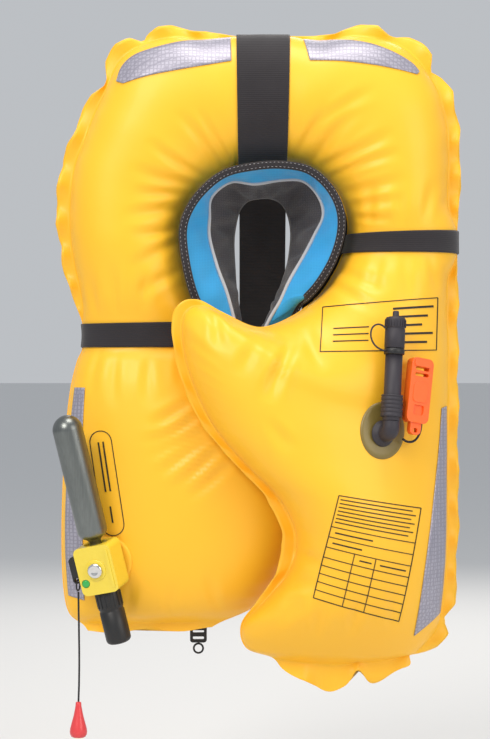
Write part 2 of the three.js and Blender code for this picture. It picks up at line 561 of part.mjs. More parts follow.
// Gas cylinder: domed top, shoulder, threaded neck with the seal's recess in its end.
const neckBottom = socketBottom + 1.6 + gap;
const neckTop = halfHeight + gap + 4;
const domeRadius = cylinder.diameter / 2;
const arc = (cx, cz, radius, from, to, count) => Array.from({ length: count + 1 }, (_, i) => {
  const angle = THREE.MathUtils.degToRad(from + ((to - from) * i) / count);
  return [cx + radius * Math.cos(angle), cz + radius * Math.sin(angle)];
});
const shoulder = neckTop + 10;
const cylinderTop = neckTop + cylinder.length;
add('co2_cylinder', moveY(turned([
  [0, neckBottom + cylinder.recess], [1.9, neckBottom + cylinder.recess], [1.9, neckBottom],
  [cylinder.neck / 2, neckBottom], [cylinder.neck / 2, neckTop],
  ...arc(domeRadius - 9, shoulder, 9, -70, 0, 4),
  ...arc(0, cylinderTop - domeRadius, domeRadius, 0, 90, 6).slice(0, -1), [0, cylinderTop],
])), finishes.steel, head);
add('cylinder_seal', moveY(tubeRing(2.6, cylinder.neck / 2, socketBottom + gap, socketBottom + 1.6)),
  finishes.rubber, head);

// Water-sensing capsule below: a cup with its salt bobbin, hammer and spring inside.
const capsuleTop = -halfHeight - gap;
const capsuleEnd = capsuleTop - capsule.length;
const capsuleRadius = capsule.diameter / 2;
const hollow = capsule.socket / 2 - capsule.wall;
add('auto_capsule', moveY(turned([
  [0, capsuleEnd], ...arc(capsuleRadius - 5, capsuleEnd + 5, 5, -90, 0, 3), [capsuleRadius, capsuleTop],
  [capsule.socket / 2, capsuleTop], [capsule.socket / 2, capsuleTop + capsule.thread - 2],
  [hollow, capsuleTop + capsule.thread - 2], [hollow, capsuleEnd + 4], [0, capsuleEnd + 4],
])), finishes.black, head);
add('capsule_seal', moveY(tubeRing(hollow + 0.5, capsule.socket / 2, capsuleTop + capsule.thread - 2 + gap,
  capsuleTop + capsule.thread - gap)), finishes.rubber, head);
const innerRadius = hollow - clearance;
add('capsule_bobbin', moveY(rod(innerRadius, capsuleEnd + 4 + gap, capsuleEnd + 14)), finishes.white, head);
add('capsule_spring', moveY(tubeRing(innerRadius - 1.6, innerRadius, capsuleEnd + 14 + gap, capsuleEnd + 36)),
  finishes.steel, head);
add('capsule_hammer', moveY(rod(innerRadius, capsuleEnd + 36 + gap, capsuleTop + capsule.thread - 4)),
  finishes.black, head);

// ---------------------------------------------------------------- pull cord, hanging straight down
head.updateMatrixWorld(true);
const leverEye = head.localToWorld(new THREE.Vector3(leverHole[0], bodyMiddle, leverHole[1]));
const eyeAxis = new THREE.Vector3(0, 1, 0).transformDirection(head.matrixWorld);
const ringDown = up.clone().negate().addScaledVector(eyeAxis, eyeAxis.z).normalize();
const ringMiddle = leverEye.clone().addScaledVector(ringDown, cord.ring / 2);
const ringFacing = new THREE.Vector3().crossVectors(eyeAxis, ringDown);
const ringTurn = new THREE.Quaternion().setFromUnitVectors(up, ringFacing);
add('cord_ring', new THREE.TorusGeometry(cord.ring / 2, cord.ringRod / 2, 6, 16).applyQuaternion(ringTurn)
  .translate(...ringMiddle.toArray()), finishes.black);
// Each point: sideways, forward and down from the cord's top.
const cordRoute = [[0, 0, 0], [0, 0, 7], [0.1, 0, 14], [0.2, 0, 22], [0.4, 0.1, 30], [0.5, 0.1, 38],
  [0.6, 0.1, 46], [0.7, 0.1, 54], [0.8, 0.1, 62], [0.8, 0.1, 70], [0.8, 0.1, 78], [0.7, 0, 86], [0.6, 0, 94],
  [0.4, 0, 101], [0.2, 0, 107], [0, 0, 113]];
const cordTop = leverEye.clone().addScaledVector(ringDown, cord.ring + cord.ringRod / 2)
  .add(new THREE.Vector3(0, 0, -gap - cord.diameter / 4));
const cordPoints = cordRoute.map(([side, forward, down]) =>
  cordTop.clone().add(new THREE.Vector3(side, -forward, -down)));
add('pull_cord', cordAlong(cordPoints, cord.diameter, 8, 30), finishes.black);
const toggleTop = cordPoints.at(-1).clone().add(new THREE.Vector3(0, 0, -gap));
const toggleRadius = toggle.diameter / 2;
add('pull_toggle', turned([[0, -toggle.length], [6, -toggle.length], [toggleRadius, -toggle.length + 5],
  [toggleRadius, -toggle.length + 10], [6.5, -toggle.length + 22], [3.4, -6], [2.6, 0], [0, 0]], 20)
  .translate(toggleTop.x, toggleTop.y, toggleTop.z), finishes.red);

// ---------------------------------------------------------------- oral inflation tube
const mouth = standing(oral.x, oral.z, oral.tilt, 18, patch.standoff);
mouth.name = 'oral_frame';
const tubeY = -oral.standoff;
const tubeRadius = oral.tube / 2;
const onTube = (geometry) => geometry.translate(0, tubeY, 0);
const bore = tubeRadius - oral.wall;
add('oral_patch', onY(rod(25, 0, patch.thickness)), finishes.olive, mouth);
add('oral_elbow', join(
  onTube(rod(tubeRadius, -12, 9)),
  onY(rod(tubeRadius - 1, patch.thickness + gap, -tubeY)).translate(0, 0, -3),
), finishes.rubber, mouth);
const tubeBottom = 9 + gap;
const tubeTop = oral.length;
add('oral_tube', onTube(turned([[0, tubeBottom], [tubeRadius, tubeBottom], [tubeRadius, tubeTop],
  [bore, tubeTop], [bore, tubeBottom + 4], [0, tubeBottom + 4]])), finishes.rubber, mouth);
add('oral_sleeve', onTube(tubeRing(tubeRadius + gap, tubeRadius + 2.2, tubeBottom + 4, tubeBottom + 26)),
  finishes.rubber, mouth);
const collarBottom = tubeTop + gap;
add('tube_collar', onTube(tubeRing(bore, tubeRadius + 1.6, collarBottom, collarBottom + 6)),
  finishes.black, mouth);
const valveBottom = tubeTop - 14;
const valveRadius = bore - clearance;
const valveTop = collarBottom + 16;
const poppetRadius = valveRadius - 2.2;
add('oral_valve_body', onTube(tubeRing(poppetRadius + clearance, valveRadius, valveBottom, valveTop)),
  finishes.white, mouth);
const poppetTravel = 3;
add('valve_poppet', onTube(turned([[0, valveBottom + 10], [poppetRadius, valveBottom + 10],
  [poppetRadius, valveTop - 8], [2, valveTop - 8], [2, valveTop + 1], [0, valveTop + 1]], 16)),
finishes.red, mouth);
add('valve_spring', onTube(tubeRing(poppetRadius - 1.4, poppetRadius, valveBottom + 0.5,
  valveBottom + 10 - poppetTravel - gap, 16)), finishes.steel, mouth);
const capBottom = collarBottom + 6 + gap;
const capTop = capBottom + 32;
add('oral_cap', onTube(turned([[0, valveTop + 3], [valveRadius + clearance, valveTop + 3],
  [valveRadius + clearance, capBottom], [tubeRadius + 1.4, capBottom], [tubeRadius + 1.4, capTop - 12],
  [tubeRadius + 2.2, capTop - 11], [tubeRadius + 2.2, capTop - 3], [tubeRadius - 2, capTop],
  [3.6, capTop], [3.2, capTop + 6], [0, capTop + 6]])), finishes.rubber, mouth);

// Cap tether: from the cap's top out to the left and back to the ring on the tube.
// Each point: out from the tube's side, and down from the cap's top.
const tetherRoute = [[2, 13], [3.7, 12], [7.2, 10], [11.7, 9.5], [15.7, 11], [18.6, 14], [19.8, 18],
  [19.6, 22.5], [17.8, 27], [14.8, 30.6], [11.2, 33], [7.7, 34.4], [4.6, 35.2], [2.8, 35.5], [2.2, 35.5]];
const tetherPoints = tetherRoute.map(([out, down]) =>
  new THREE.Vector3(-tubeRadius - out, tubeY, capTop - down));
add('cap_tether', cordAlong(tetherPoints, 1.8, 8, 26), finishes.black, mouth);

// ---------------------------------------------------------------- whistle and its cord
const whistleFrame = new THREE.Group();
whistleFrame.position.set(tubeRadius + 2.2 + 4 + whistleSize.width / 2, tubeY - 3, 36);
whistleFrame.rotation.y = THREE.MathUtils.degToRad(4);
mouth.add(whistleFrame);
const slot = (z) => box(16, whistleSize.thickness + 4, 3.4, [0, 0, z]);
const whistleBody = roundedPlate(whistleSize.width, whistleSize.length - 12, 6, -whistleSize.thickness / 2,
  whistleSize.thickness);
const whistleLug = roundedPlate(13, 18, 5, -3, 6);
add('whistle', cut(
  join(whistleBody.translate(0, 0, 6), whistleLug.translate(0, 0, -whistleSize.length / 2 + 9)),
  slot(22), slot(28),
  onY(rod(2.2, -5, 5, 12)).translate(0, 0, -whistleSize.length / 2 + 4.5),
), finishes.orange, whistleFrame);
// Each point: out from the tube's side, and up its axis.
const lanyardRoute = [[11.2, -7], [14.7, -9], [19.2, -9.6], [24.2, -8.4], [28.2, -5], [31, 0], [32.4, 6],
  [32.6, 12], [31.6, 18], [29.2, 23], [25.2, 26.6], [20.2, 28.4], [14.8, 28.6], [9.8, 27.4], [5.4, 24.6],
  [4.2, 21]];
const lanyardPoints = lanyardRoute.map(([out, rise]) => new THREE.Vector3(tubeRadius + out, tubeY + 8, rise));
add('whistle_lanyard', cordAlong(lanyardPoints, 2.4, 8, 30), finishes.black, mouth);

group.updateMatrixWorld(true);
export default group;
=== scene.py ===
"""Inflated automatic life jacket: the looks of every piece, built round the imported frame."""

from __future__ import annotations

import json
import logging
import math
from dataclasses import dataclass, field
from enum import Enum

import bmesh
import bpy
import numpy as np
from mathutils import Matrix, Vector
from mathutils.bvhtree import BVHTree


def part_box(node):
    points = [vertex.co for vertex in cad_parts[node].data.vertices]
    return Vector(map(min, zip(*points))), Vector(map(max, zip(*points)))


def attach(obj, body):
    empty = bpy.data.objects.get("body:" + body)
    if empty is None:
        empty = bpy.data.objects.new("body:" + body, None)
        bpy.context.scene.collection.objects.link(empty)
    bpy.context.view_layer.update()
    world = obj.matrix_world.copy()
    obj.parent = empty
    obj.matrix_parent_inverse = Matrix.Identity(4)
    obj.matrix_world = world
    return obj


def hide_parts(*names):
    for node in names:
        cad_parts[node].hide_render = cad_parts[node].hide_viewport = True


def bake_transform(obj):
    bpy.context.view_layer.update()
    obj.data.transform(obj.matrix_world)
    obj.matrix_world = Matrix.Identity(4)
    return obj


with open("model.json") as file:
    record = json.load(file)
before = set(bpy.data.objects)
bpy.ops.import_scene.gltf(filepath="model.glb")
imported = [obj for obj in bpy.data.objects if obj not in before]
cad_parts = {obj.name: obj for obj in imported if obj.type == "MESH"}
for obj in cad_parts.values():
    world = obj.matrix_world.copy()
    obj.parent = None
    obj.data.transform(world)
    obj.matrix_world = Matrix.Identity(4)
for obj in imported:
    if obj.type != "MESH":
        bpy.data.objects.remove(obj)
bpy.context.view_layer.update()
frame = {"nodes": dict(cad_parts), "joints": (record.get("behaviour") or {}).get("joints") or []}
LOG = logging.getLogger("life_jacket")
MM = 0.001
JOINTS = {joint["name"]: joint for joint in frame["joints"]}


# ---------------------------------------------------------------- colours, nodes and meshes
def linear(code: str) -> tuple[float, float, float, float]:
    """Turns an sRGB hex colour into the linear colour that shaders take.

    Args:
        code: six hex digits.

    Returns:
        Red, green, blue and alpha, linear.
    """
    parts = [int(code[i:i + 2], 16) / 255 for i in (0, 2, 4)]
    return (*(p / 12.92 if p <= 0.04045 else ((p + 0.055) / 1.055) ** 2.4 for p in parts), 1.0)


def add_node(tree: bpy.types.NodeTree, kind: str, values: dict | None = None,
             links: dict | None = None, **settings: object) -> bpy.types.Node:
    """Adds one node with its settings, values and incoming links.

    Args:
        tree: the node tree that gets it.
        kind: the node's type name.
        values: socket name or number to its value.
        links: socket name or number to the output socket that feeds it.
        **settings: the node's own properties.

    Returns:
        The new node.
    """
    made = tree.nodes.new(kind)
    for key, value in settings.items():
        setattr(made, key, value)
    for key, value in (values or {}).items():
        made.inputs[key].default_value = value
    for key, source in (links or {}).items():
        tree.links.new(source, made.inputs[key])
    return made


def new_piece(name: str, points: np.ndarray | list, faces: list, smooth: bool = True) -> bpy.types.Object:
    """Makes a mesh object with its faces turned outwards.

    Args:
        name: the piece's name.
        points: its corners in metres.
        faces: corner numbers of each face.
        smooth: whether the faces are shaded smooth.

    Returns:
        The new object, at the origin.
    """
    mesh = bpy.data.meshes.new(name)
    mesh.from_pydata([tuple(map(float, p)) for p in points], [], faces)
    piece = bpy.data.objects.new(name, mesh)
    bpy.context.scene.collection.objects.link(piece)
    turn_outwards(piece)
    mesh.polygons.foreach_set("use_smooth", [smooth] * len(mesh.polygons))
    return piece


def turn_outwards(piece: bpy.types.Object) -> None:
    """Merges doubled corners and turns every face outwards."""
    work = bmesh.new()
    work.from_mesh(piece.data)
    bmesh.ops.remove_doubles(work, verts=work.verts, dist=1e-6)
    bmesh.ops.recalc_face_normals(work, faces=work.faces)
    work.to_mesh(piece.data)
    work.free()


def freeze(piece: bpy.types.Object) -> None:
    """Applies every modifier of a piece to its mesh."""
    graph = bpy.context.evaluated_depsgraph_get()
    mesh = bpy.data.meshes.new_from_object(piece.evaluated_get(graph))
    piece.modifiers.clear()
    piece.data = mesh
    mesh.name = piece.name


def soften(piece: bpy.types.Object, width: float, segments: int = 3, angle: float = 35.0) -> None:
    """Rounds a hard piece's edges and applies it.

    Args:
        piece: the piece.
        width: the edge's round in metres.
        segments: how many faces the round has.
        angle: the least angle in degrees of an edge that gets one.
    """
    bevel = piece.modifiers.new("edge_round", "BEVEL")
    bevel.width = width
    bevel.segments = segments
    bevel.limit_method = "ANGLE"
    bevel.angle_limit = math.radians(angle)
    bevel.harden_normals = True
    freeze(piece)


def grid_faces(rows: int, columns: int, wrap_rows: bool = False, wrap_columns: bool = True) -> list:
    """Lists the four-sided faces of a grid of corners.

    Args:
        rows: how many rows the grid has.
        columns: how many corners are in a row.
        wrap_rows: whether the last row joins the first.
        wrap_columns: whether each row closes on itself.

    Returns:
        Corner numbers of each face.
    """
    faces = []
    for i in range(rows if wrap_rows else rows - 1):
        for j in range(columns if wrap_columns else columns - 1):
            a, b = i * columns, ((i + 1) % rows) * columns
            k = (j + 1) % columns
            faces.append((a + j, a + k, b + k, b + j))
    return faces


def swept(name: str, rings: np.ndarray, closed: bool = False, smooth: bool = True) -> bpy.types.Object:
    """Joins rings of corners into a closed piece.

    Args:
        name: the piece's name.
        rings: corners, as rows by corners by 3.
        closed: whether the last ring joins the first; if not, both ends are capped.
        smooth: whether it is shaded smooth.

    Returns:
        The new object.
    """
    rows, columns = rings.shape[:2]
    faces = grid_faces(rows, columns, wrap_rows=closed)
    if not closed:
        faces += [tuple(range(columns)), tuple(range((rows - 1) * columns, rows * columns))]
    return new_piece(name, rings.reshape(-1, 3), faces, smooth)


def turned(name: str, profile: list[tuple[float, float]], place: Matrix, sides: int = 64) -> bpy.types.Object:
    """Turns a profile about its own axis.

    Args:
        name: the piece's name.
        profile: (radius, height) in millimetres, from axis to axis or closed on itself.
        place: where the piece's own frame stands.
        sides: how many sides a full turn has.

    Returns:
        The new object.
    """
    ring = [(r * MM * math.cos(a), r * MM * math.sin(a), z * MM)
            for a in (2 * math.pi * n / sides for n in range(sides)) for r, z in profile]
    faces = grid_faces(sides, len(profile), wrap_rows=True, wrap_columns=False)
    piece = new_piece(name, [place @ Vector(p) for p in ring], faces)
    work = bmesh.new()
    work.from_mesh(piece.data)
    bmesh.ops.dissolve_degenerate(work, dist=1e-7, edges=work.edges)
    bmesh.ops.recalc_face_normals(work, faces=work.faces)
    work.to_mesh(piece.data)
    work.free()
    return piece


def spline(rows: list | np.ndarray, at: np.ndarray) -> np.ndarray:
    """Follows a smooth curve through rows of numbers.

    Args:
        rows: the rows that the curve passes through.
        at: places along it, counted in rows.

    Returns:
        One row of numbers for each place.
    """
    table = np.asarray(rows, float)
    last = len(table) - 1
    first = np.clip(np.floor(at).astype(int), 0, last - 1)
    u = (np.asarray(at) - first)[:, None]
    p = [table[np.clip(first + shift, 0, last)] for shift in (-1, 0, 1, 2)]
    return 0.5 * (2 * p[1] + (p[2] - p[0]) * u + (2 * p[0] - 5 * p[1] + 4 * p[2] - p[3]) * u ** 2
                  + (3 * p[1] - p[0] - 3 * p[2] + p[3]) * u ** 3)


def smooth_step(x: np.ndarray, low: float, high: float) -> np.ndarray:
    """Rises softly from 0 at low to 1 at high."""
    u = np.clip((x - low) / (high - low), 0, 1)
    return u * u * (3 - 2 * u)


# ---------------------------------------------------------------- finishes
class Pattern(Enum):
    """What a finish's fine surface is made of."""

    COATED = "coated woven fabric"
    RIBBED = "woven webbing with ribs across it"
    HONEYCOMB = "reflective film with a honeycomb of cells"
    WOVEN = "plain weave"
    MESH = "spacer mesh with holes"
    BRAID = "braided cord"
    MOULDED = "moulded plastic or rubber with a fine grain"
    METAL = "drawn or turned metal"


@dataclass(frozen=True)
class Finish:
    """One real finish, with its colours, shine and fine pattern.

    The pitch is the pattern's real spacing in millimetres, and the depth is how deep its bump is.
    """

    name: str
    colour: str
    shade: str
    roughness: float
    pattern: Pattern
    pitch: float
    depth: float
    metallic: float = 0.0
    coat: float = 0.0
    sheen: float = 0.0
    ior: float = 1.5
    patch: float = 40.0
    transmission: float = 0.0

    def material(self) -> bpy.types.Material:
        """Builds the finish's material, or gives back the one already built."""
        made = bpy.data.materials.get(self.name)
        if made:
            return made
        made = bpy.data.materials.new(self.name)
        made.use_nodes = True
        tree = made.node_tree
        tree.nodes.clear()
        place = add_node(tree, "ShaderNodeTexCoord").outputs["Object"]
        height = self._height(tree, place)
        clouds = add_node(tree, "ShaderNodeTexNoise", {"Scale": 1000 / self.patch, "Detail": 4.0},
                          {"Vector": place})
        blend = add_node(tree, "ShaderNodeMath", {1: 0.35}, {0: clouds.outputs["Fac"]}, operation="MULTIPLY")
        grain = add_node(tree, "ShaderNodeMath", {1: 0.45}, {0: height}, operation="MULTIPLY")
        mixed = add_node(tree, "ShaderNodeMath", None, {0: blend.outputs[0], 1: grain.outputs[0]},
                         operation="ADD")
        colour = add_node(tree, "ShaderNodeMix", {"A": linear(self.colour), "B": linear(self.shade)},
                          data_type="RGBA")
        tree.links.new(mixed.outputs[0], colour.inputs["Factor"])
        wear = add_node(tree, "ShaderNodeMapRange",
                        {"To Min": self.roughness - 0.05, "To Max": self.roughness + 0.07},
                        {"Value": clouds.outputs["Fac"]})
        bump = add_node(tree, "ShaderNodeBump", {"Strength": 0.6, "Distance": self.depth * MM},
                        {"Height": height})
        shader = add_node(
            tree, "ShaderNodeBsdfPrincipled",
            {"Metallic": self.metallic, "Coat Weight": self.coat, "Coat Roughness": 0.15,
             "Sheen Weight": self.sheen, "Sheen Roughness": 0.5, "IOR": self.ior,
             "Transmission Weight": self.transmission},
            {"Base Color": colour.outputs["Result"], "Roughness": wear.outputs["Result"],
             "Normal": bump.outputs["Normal"]})
        add_node(tree, "ShaderNodeOutputMaterial", None, {"Surface": shader.outputs[0]})
        return made

    def _height(self, tree: bpy.types.NodeTree, place: bpy.types.NodeSocket) -> bpy.types.NodeSocket:
        """Builds the pattern's height, from 0 to 1.

        Args:
            tree: the material's nodes.
            place: the socket that gives the place in metres.

        Returns:
            The socket that gives the height.
        """
        per_metre = 1000 / self.pitch

        def wave(direction: str, scale: float, profile: str = "SIN") -> bpy.types.NodeSocket:
            """One run of even ribs; a wave texture's scale is in rad / 20 per metre.

            Args:
                direction: the axis that it runs along.
                scale: how many waves there are.
                profile: the shape of the wave.

            Returns:
                The texture's value.
            """
            return add_node(tree, "ShaderNodeTexWave", {"Scale": scale * math.pi / 10, "Distortion": 0.0},
                            {"Vector": place}, wave_type="BANDS", bands_direction=direction,
                            wave_profile=profile).outputs["Fac"]

        if self.pattern in (Pattern.WOVEN, Pattern.COATED, Pattern.BRAID):
            first = wave("DIAGONAL" if self.pattern is Pattern.BRAID else "X", per_metre)
            return add_node(tree, "ShaderNodeMath", None, {0: first, 1: wave("Z", per_metre)},
                            operation="MULTIPLY").outputs[0]
        if self.pattern is Pattern.RIBBED:
            fine = add_node(tree, "ShaderNodeMath", {1: 0.4}, {0: wave("X", per_metre * 1.7)},
                            operation="MULTIPLY")
            return add_node(tree, "ShaderNodeMath", None, {0: wave("Z", per_metre), 1: fine.outputs[0]},
                            operation="ADD", use_clamp=True).outputs[0]
        if self.pattern in (Pattern.HONEYCOMB, Pattern.MESH):
            cells = add_node(tree, "ShaderNodeTexVoronoi", {"Scale": per_metre, "Randomness": 0.25},
                             {"Vector": place}, feature="DISTANCE_TO_EDGE")
            return add_node(tree, "ShaderNodeMapRange", {"From Max": 0.22},
                            {"Value": cells.outputs["Distance"]}
                            ).outputs["Result"]
        if self.pattern is Pattern.METAL:
            stretch = add_node(tree, "ShaderNodeMapping", {"Scale": (per_metre, per_metre, per_metre * 0.04)},
                               {"Vector": place})
            return add_node(tree, "ShaderNodeTexNoise", {"Scale": 1.0, "Detail": 3.0},
                            {"Vector": stretch.outputs[0]}).outputs["Fac"]
        return add_node(tree, "ShaderNodeTexNoise", {"Scale": per_metre, "Detail": 5.0, "Roughness": 0.6},
                        {"Vector": place}).outputs["Fac"]


# Polyurethane-coated nylon: a satin skin over a fine weave; shade falls deep orange in its folds.
BLADDER_SKIN = Finish("pu_coated_nylon_yellow", "ffc62a", "fbb112", 0.46, Pattern.COATED, 0.9, 0.03,
                      coat=0.06,
                      sheen=0.05, patch=90)
# Woven polyester elastic: dull black with ribs across the band, drawn 2 mm apart so that they show.
ELASTIC = Finish("woven_elastic_black", "2b272d", "141216", 0.85, Pattern.RIBBED, 2.0, 0.25, sheen=0.2)
# Glass-bead reflective film: silver grey with a pressed honeycomb of cells 4 mm across.
REFLECTIVE = Finish("reflective_film_silver", "807e8e", "c2c0cf", 0.42, Pattern.HONEYCOMB, 4.0, 0.12,
                    metallic=0.35)
# Dyed polyester pack cloth: bright blue plain weave, drawn at 1.6 mm.
PACK_CLOTH = Finish("polyester_pack_cloth_blue", "37b0f0", "1389d0", 0.75, Pattern.WOVEN, 1.6, 0.15,
                    sheen=0.3)
# Warp-knitted mesh lining: dull dark grey with small open cells.
MESH_KNIT = Finish("knitted_mesh_grey", "26252a", "54525a", 0.9, Pattern.MESH, 2.4, 0.3, sheen=0.3)
# Bias-cut piping: pale grey plain weave.
PIPING_CLOTH = Finish("bias_piping_pale_grey", "c9cbd0", "9fa2a8", 0.7, Pattern.WOVEN, 1.2, 0.12)
# Injection-moulded acetal and nylon: near black, satin, with a fine spark grain.
BLACK_PLASTIC = Finish("moulded_acetal_black", "17181a", "232427", 0.42, Pattern.MOULDED, 1.0, 0.05)
# Gloss polycarbonate head.
YELLOW_PLASTIC = Finish("moulded_polycarbonate_yellow", "f1d94b", "e3c62c", 0.25, Pattern.MOULDED, 3.0, 0.03,
                        coat=0.4)
# Electro-painted drawn steel: warm gunmetal grey.
GUNMETAL = Finish("plated_drawn_steel_gunmetal", "8a8f8e", "505453", 0.3, Pattern.METAL, 1.5, 0.02,
                  metallic=0.9)
# Bright nickel-chrome plating.
CHROME = Finish("bright_chrome", "e6e6e6", "cfcfcf", 0.14, Pattern.METAL, 1.0, 0.005, metallic=1.0)
GREEN_PLASTIC = Finish("moulded_green_indicator", "35b552", "259a40", 0.25, Pattern.MOULDED, 2.0, 0.02,
                       coat=0.5)
RED_PLASTIC = Finish("moulded_polypropylene_red", "e5484d", "cf3439", 0.32, Pattern.MOULDED, 2.0, 0.03,
                     coat=0.2)
ORANGE_PLASTIC = Finish("moulded_polypropylene_orange", "ff6c1f", "f25c10", 0.33, Pattern.MOULDED, 2.0, 0.03,
                        coat=0.2)
# Natural moulded rubber: dark grey with a bloom.
RUBBER = Finish("moulded_rubber_charcoal", "34313a", "27242b", 0.55, Pattern.MOULDED, 1.5, 0.06)
# Welded polyurethane patch: translucent khaki over the yellow skin.
PATCH_FILM = Finish("welded_polyurethane_khaki", "84733a", "705f2c", 0.4, Pattern.MOULDED, 4.0, 0.05,
                    coat=0.2)
WHITE_PLASTIC = Finish("moulded_nylon_white", "ebe9e2", "d8d5cc", 0.4, Pattern.MOULDED, 2.0, 0.03)
# Braided polyester cord, 2 mm: the plait is drawn at its real 1.5 mm.
CORD_BRAID = Finish("braided_polyester_black", "1d1d20", "34343a", 0.8, Pattern.BRAID, 1.5, 0.2)
# Polyester webbing: closer and flatter than the elastic, with fine ribs.
WEBBING = Finish("polyester_webbing_black", "26242a", "121115", 0.8, Pattern.RIBBED, 1.6, 0.2, sheen=0.2)
# Laminated cover cloth on the wearer's side: charcoal, plain weave.
COVER_CLOTH = Finish("laminated_cover_cloth_charcoal", "2e2d33", "1f1e23", 0.85, Pattern.WOVEN, 1.8, 0.15,
                     sheen=0.2)
# Screen-printed ink on the coated skin: matt black.
PRINT_INK = Finish("screen_ink_black", "1e1a14", "2c261c", 0.6, Pattern.MOULDED, 1.0, 0.02)
THREAD = Finish("bonded_thread_white", "b4b4b9", "93939a", 0.6, Pattern.BRAID, 0.5, 0.05)


def dress(piece: bpy.types.Object, finish: Finish, body: str, slot: str,
          *stands_for: str) -> bpy.types.Object:
    """Gives a piece its finish, the body that it moves with and the nodes that it stands for.

    Args:
        piece: the piece.
        finish: what its surface is.
        body: the body that it rides on.
        slot: the record's material slot; not used.
        *stands_for: names of the CAD nodes that it replaces.

    Returns:
        The same piece.
    """
    piece.data.materials.clear()
    piece.data.materials.append(finish.material())
    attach(piece, body)
    if stands_for:
        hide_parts(*stands_for)
    LOG.info("%s rides on %s", piece.name, body)
    return piece


# ---------------------------------------------------------------- bladder
@dataclass
class Bladder:
    """The inflated horseshoe chamber, its weld flange, and what lies on its skin.

    A station is a section across the chamber, in millimetres: outer x and z, inner x and z, front and back
    bulge, outer and inner edge y, outer and inner flange width, and how far the section sags.
    """

    drawn_width: float = 421.0
    drawn_height: float = 692.0
    seam: float = 0.7
    per_station: int = 13
    front_columns: int = 88
    back_columns: int = 22
    flange_columns: int = 4
    # Puckers along the inner and the outer seam: pitch and height in millimetres, reach as a share across.
    inner_pucker: tuple = (17.0, 1.1, 0.09)
    outer_pucker: tuple = (31.0, 1.5, 0.07)
    # Ruffles of the weld flange: the long and the short pitch, and how far the inner and outer flange swing.
    ruffle_pitches: tuple = (43.0, 19.0)
    ruffle_swings: tuple = (2.0, 4.2)
    # How far the top and the underside of a reflective tape stand off the skin, in millimetres.
    tape_lifts: tuple = (1.1, 0.35)
    overlap_from: float = 33.5
    stations: tuple = (
        (-184, -412, -54, -409, 0.8, 0.8, -45, -45, 1, 1, 0),
        (-190, -404, -42, -401, 0.8, 0.8, -45, -45, 1, 1, 0),
        (-204, -392, -10, -386, 27, 22, -45, -45, 1, 1, 0), (-210, -366, 14, -360, 44, 34, -45, -45, 1, 1, 0),
        (-212, -320, 32, -318, 55, 42, -45, -45, 1, 1, 0), (-211, -262, 36, -260, 58, 44, -45, -45, 1, 1, 0),
        (-208, -204, 18, -204, 58, 44, -45, -45, 1, 1, 0), (-203, -158, -14, -160, 53, 41, -45, -45, 1, 1, 0),
        (-196, -128, -40, -130, 45, 38, -45, -45, 1, 1, 0), (-190, -113, -50, -113, 38, 34, -45, -45, 1, 1,
                                                             0),
        (-190, -88, -62, -86, 38, 34, -45, -45, 1, 1, 0), (-200, -60, -76, -52, 46, 38, -46, -46, 10, 1, 0),
        (-213, -10, -86, -12, 52, 42, -47, -47, 13, 1, 0), (-215, 33, -86, 12, 52, 42, -48, -48, 13, 1, 0),
        (-210, 78, -80, 33, 52, 43, -48, -48, 13, 1, 0), (-196, 117, -69, 49, 52, 43, -49, -49, 13, 1, 0),
        (-178, 156, -57, 61, 52, 43, -50, -50, 12, 1, 0), (-152, 202, -44, 70, 52, 43, -50, -50, 12, 1, 0),
        (-105, 222, -36, 75, 52, 43, -50, -50, 12, 1, 0), (-60, 218, -30, 77.5, 52, 43, -50, -50, 8, 1, 0),
        (-28, 214, -26, 79, 50, 42, -50, -50, 1, 1, 0), (0, 214, 0, 81, 50, 42, -50, -50, 1, 1, 0),
        (28, 214, 25, 81.5, 50, 42, -50, -50, 1, 1, 0), (61, 216, 32, 81, 52, 43, -50, -50, 8, 1, 0),
        (105, 224, 41, 79, 52, 43, -50, -50, 12, 1, 0), (153, 211, 50, 75, 52, 43, -50, -50, 12, 1, 0),
        (189, 171, 62, 67, 53, 43, -50, -50, 13, 1, 0), (203, 126, 73, 56, 53, 43, -50, -50, 13, 1, 0),
        (206, 82, 82, 41, 53, 43, -50, -50, 13, 1, 0), (206, 40, 88, 22, 53, 43, -50, -50, 13, 1, 0),
        (204, 9, 88, 5, 50, 42, -50, -50, 1, 1, 0), (204, -15, 83, -15, 50, 42, -50, -50, 1, 1, 0),
        (204, -42, 73, -36, 58, 45, -52, -54, 11, 1, 0), (204, -68, 57, -59, 64, 45, -53, -60, 12, 1, 0),
        (204, -90, 30, -80, 68, 45, -54, -72, 12, 1, -15), (204, -110, -4, -92, 72, 48, -55, -90, 12, 2, -45),
        (204, -128, -38, -79, 75, 52, -55, -104, 12, 6, -75),
        (204, -146, -68, -64, 77, 56, -55, -112, 12, 10, -92),
        (204, -165, -88, -70, 78, 60, -55, -114, 12, 12, -92),
        (204, -188, -94, -96, 80, 64, -55, -114, 12, 14, -70),
        (204, -213, -87, -138, 82, 67, -55, -114, 12, 15, -42),
        (204, -242, -66, -188, 83, 70, -55, -114, 12, 16, -22),
        (204, -272, -32, -230, 84, 72, -55, -113, 12, 16, -10),
        (204, -302, 0, -264, 84, 72, -55, -111, 12, 16, 0), (203, -332, 18, -302, 82, 70, -55, -108, 12, 16,
                                                             0),
        (201, -360, 15, -338, 76, 62, -56, -106, 12, 14, 0), (198, -386, -4, -371, 66, 50, -57, -104, 12, 8,
                                                              0),
        (192, -410, -23, -398, 48, 34, -58, -100, 13, 2, 0),
        (172, -431, -18, -423, 22, 16, -60, -94, 13, 2, -6),
        (154, -434, 9, -434, 0.8, 0.8, -62, -88, 2, 2, -18),
        (152, -447, 20, -446, 0.8, 0.8, -63, -86, 2, 2, -20),
        (124, -457, 38, -458, 0.8, 0.8, -64, -84, 2, 2, -20),
    )
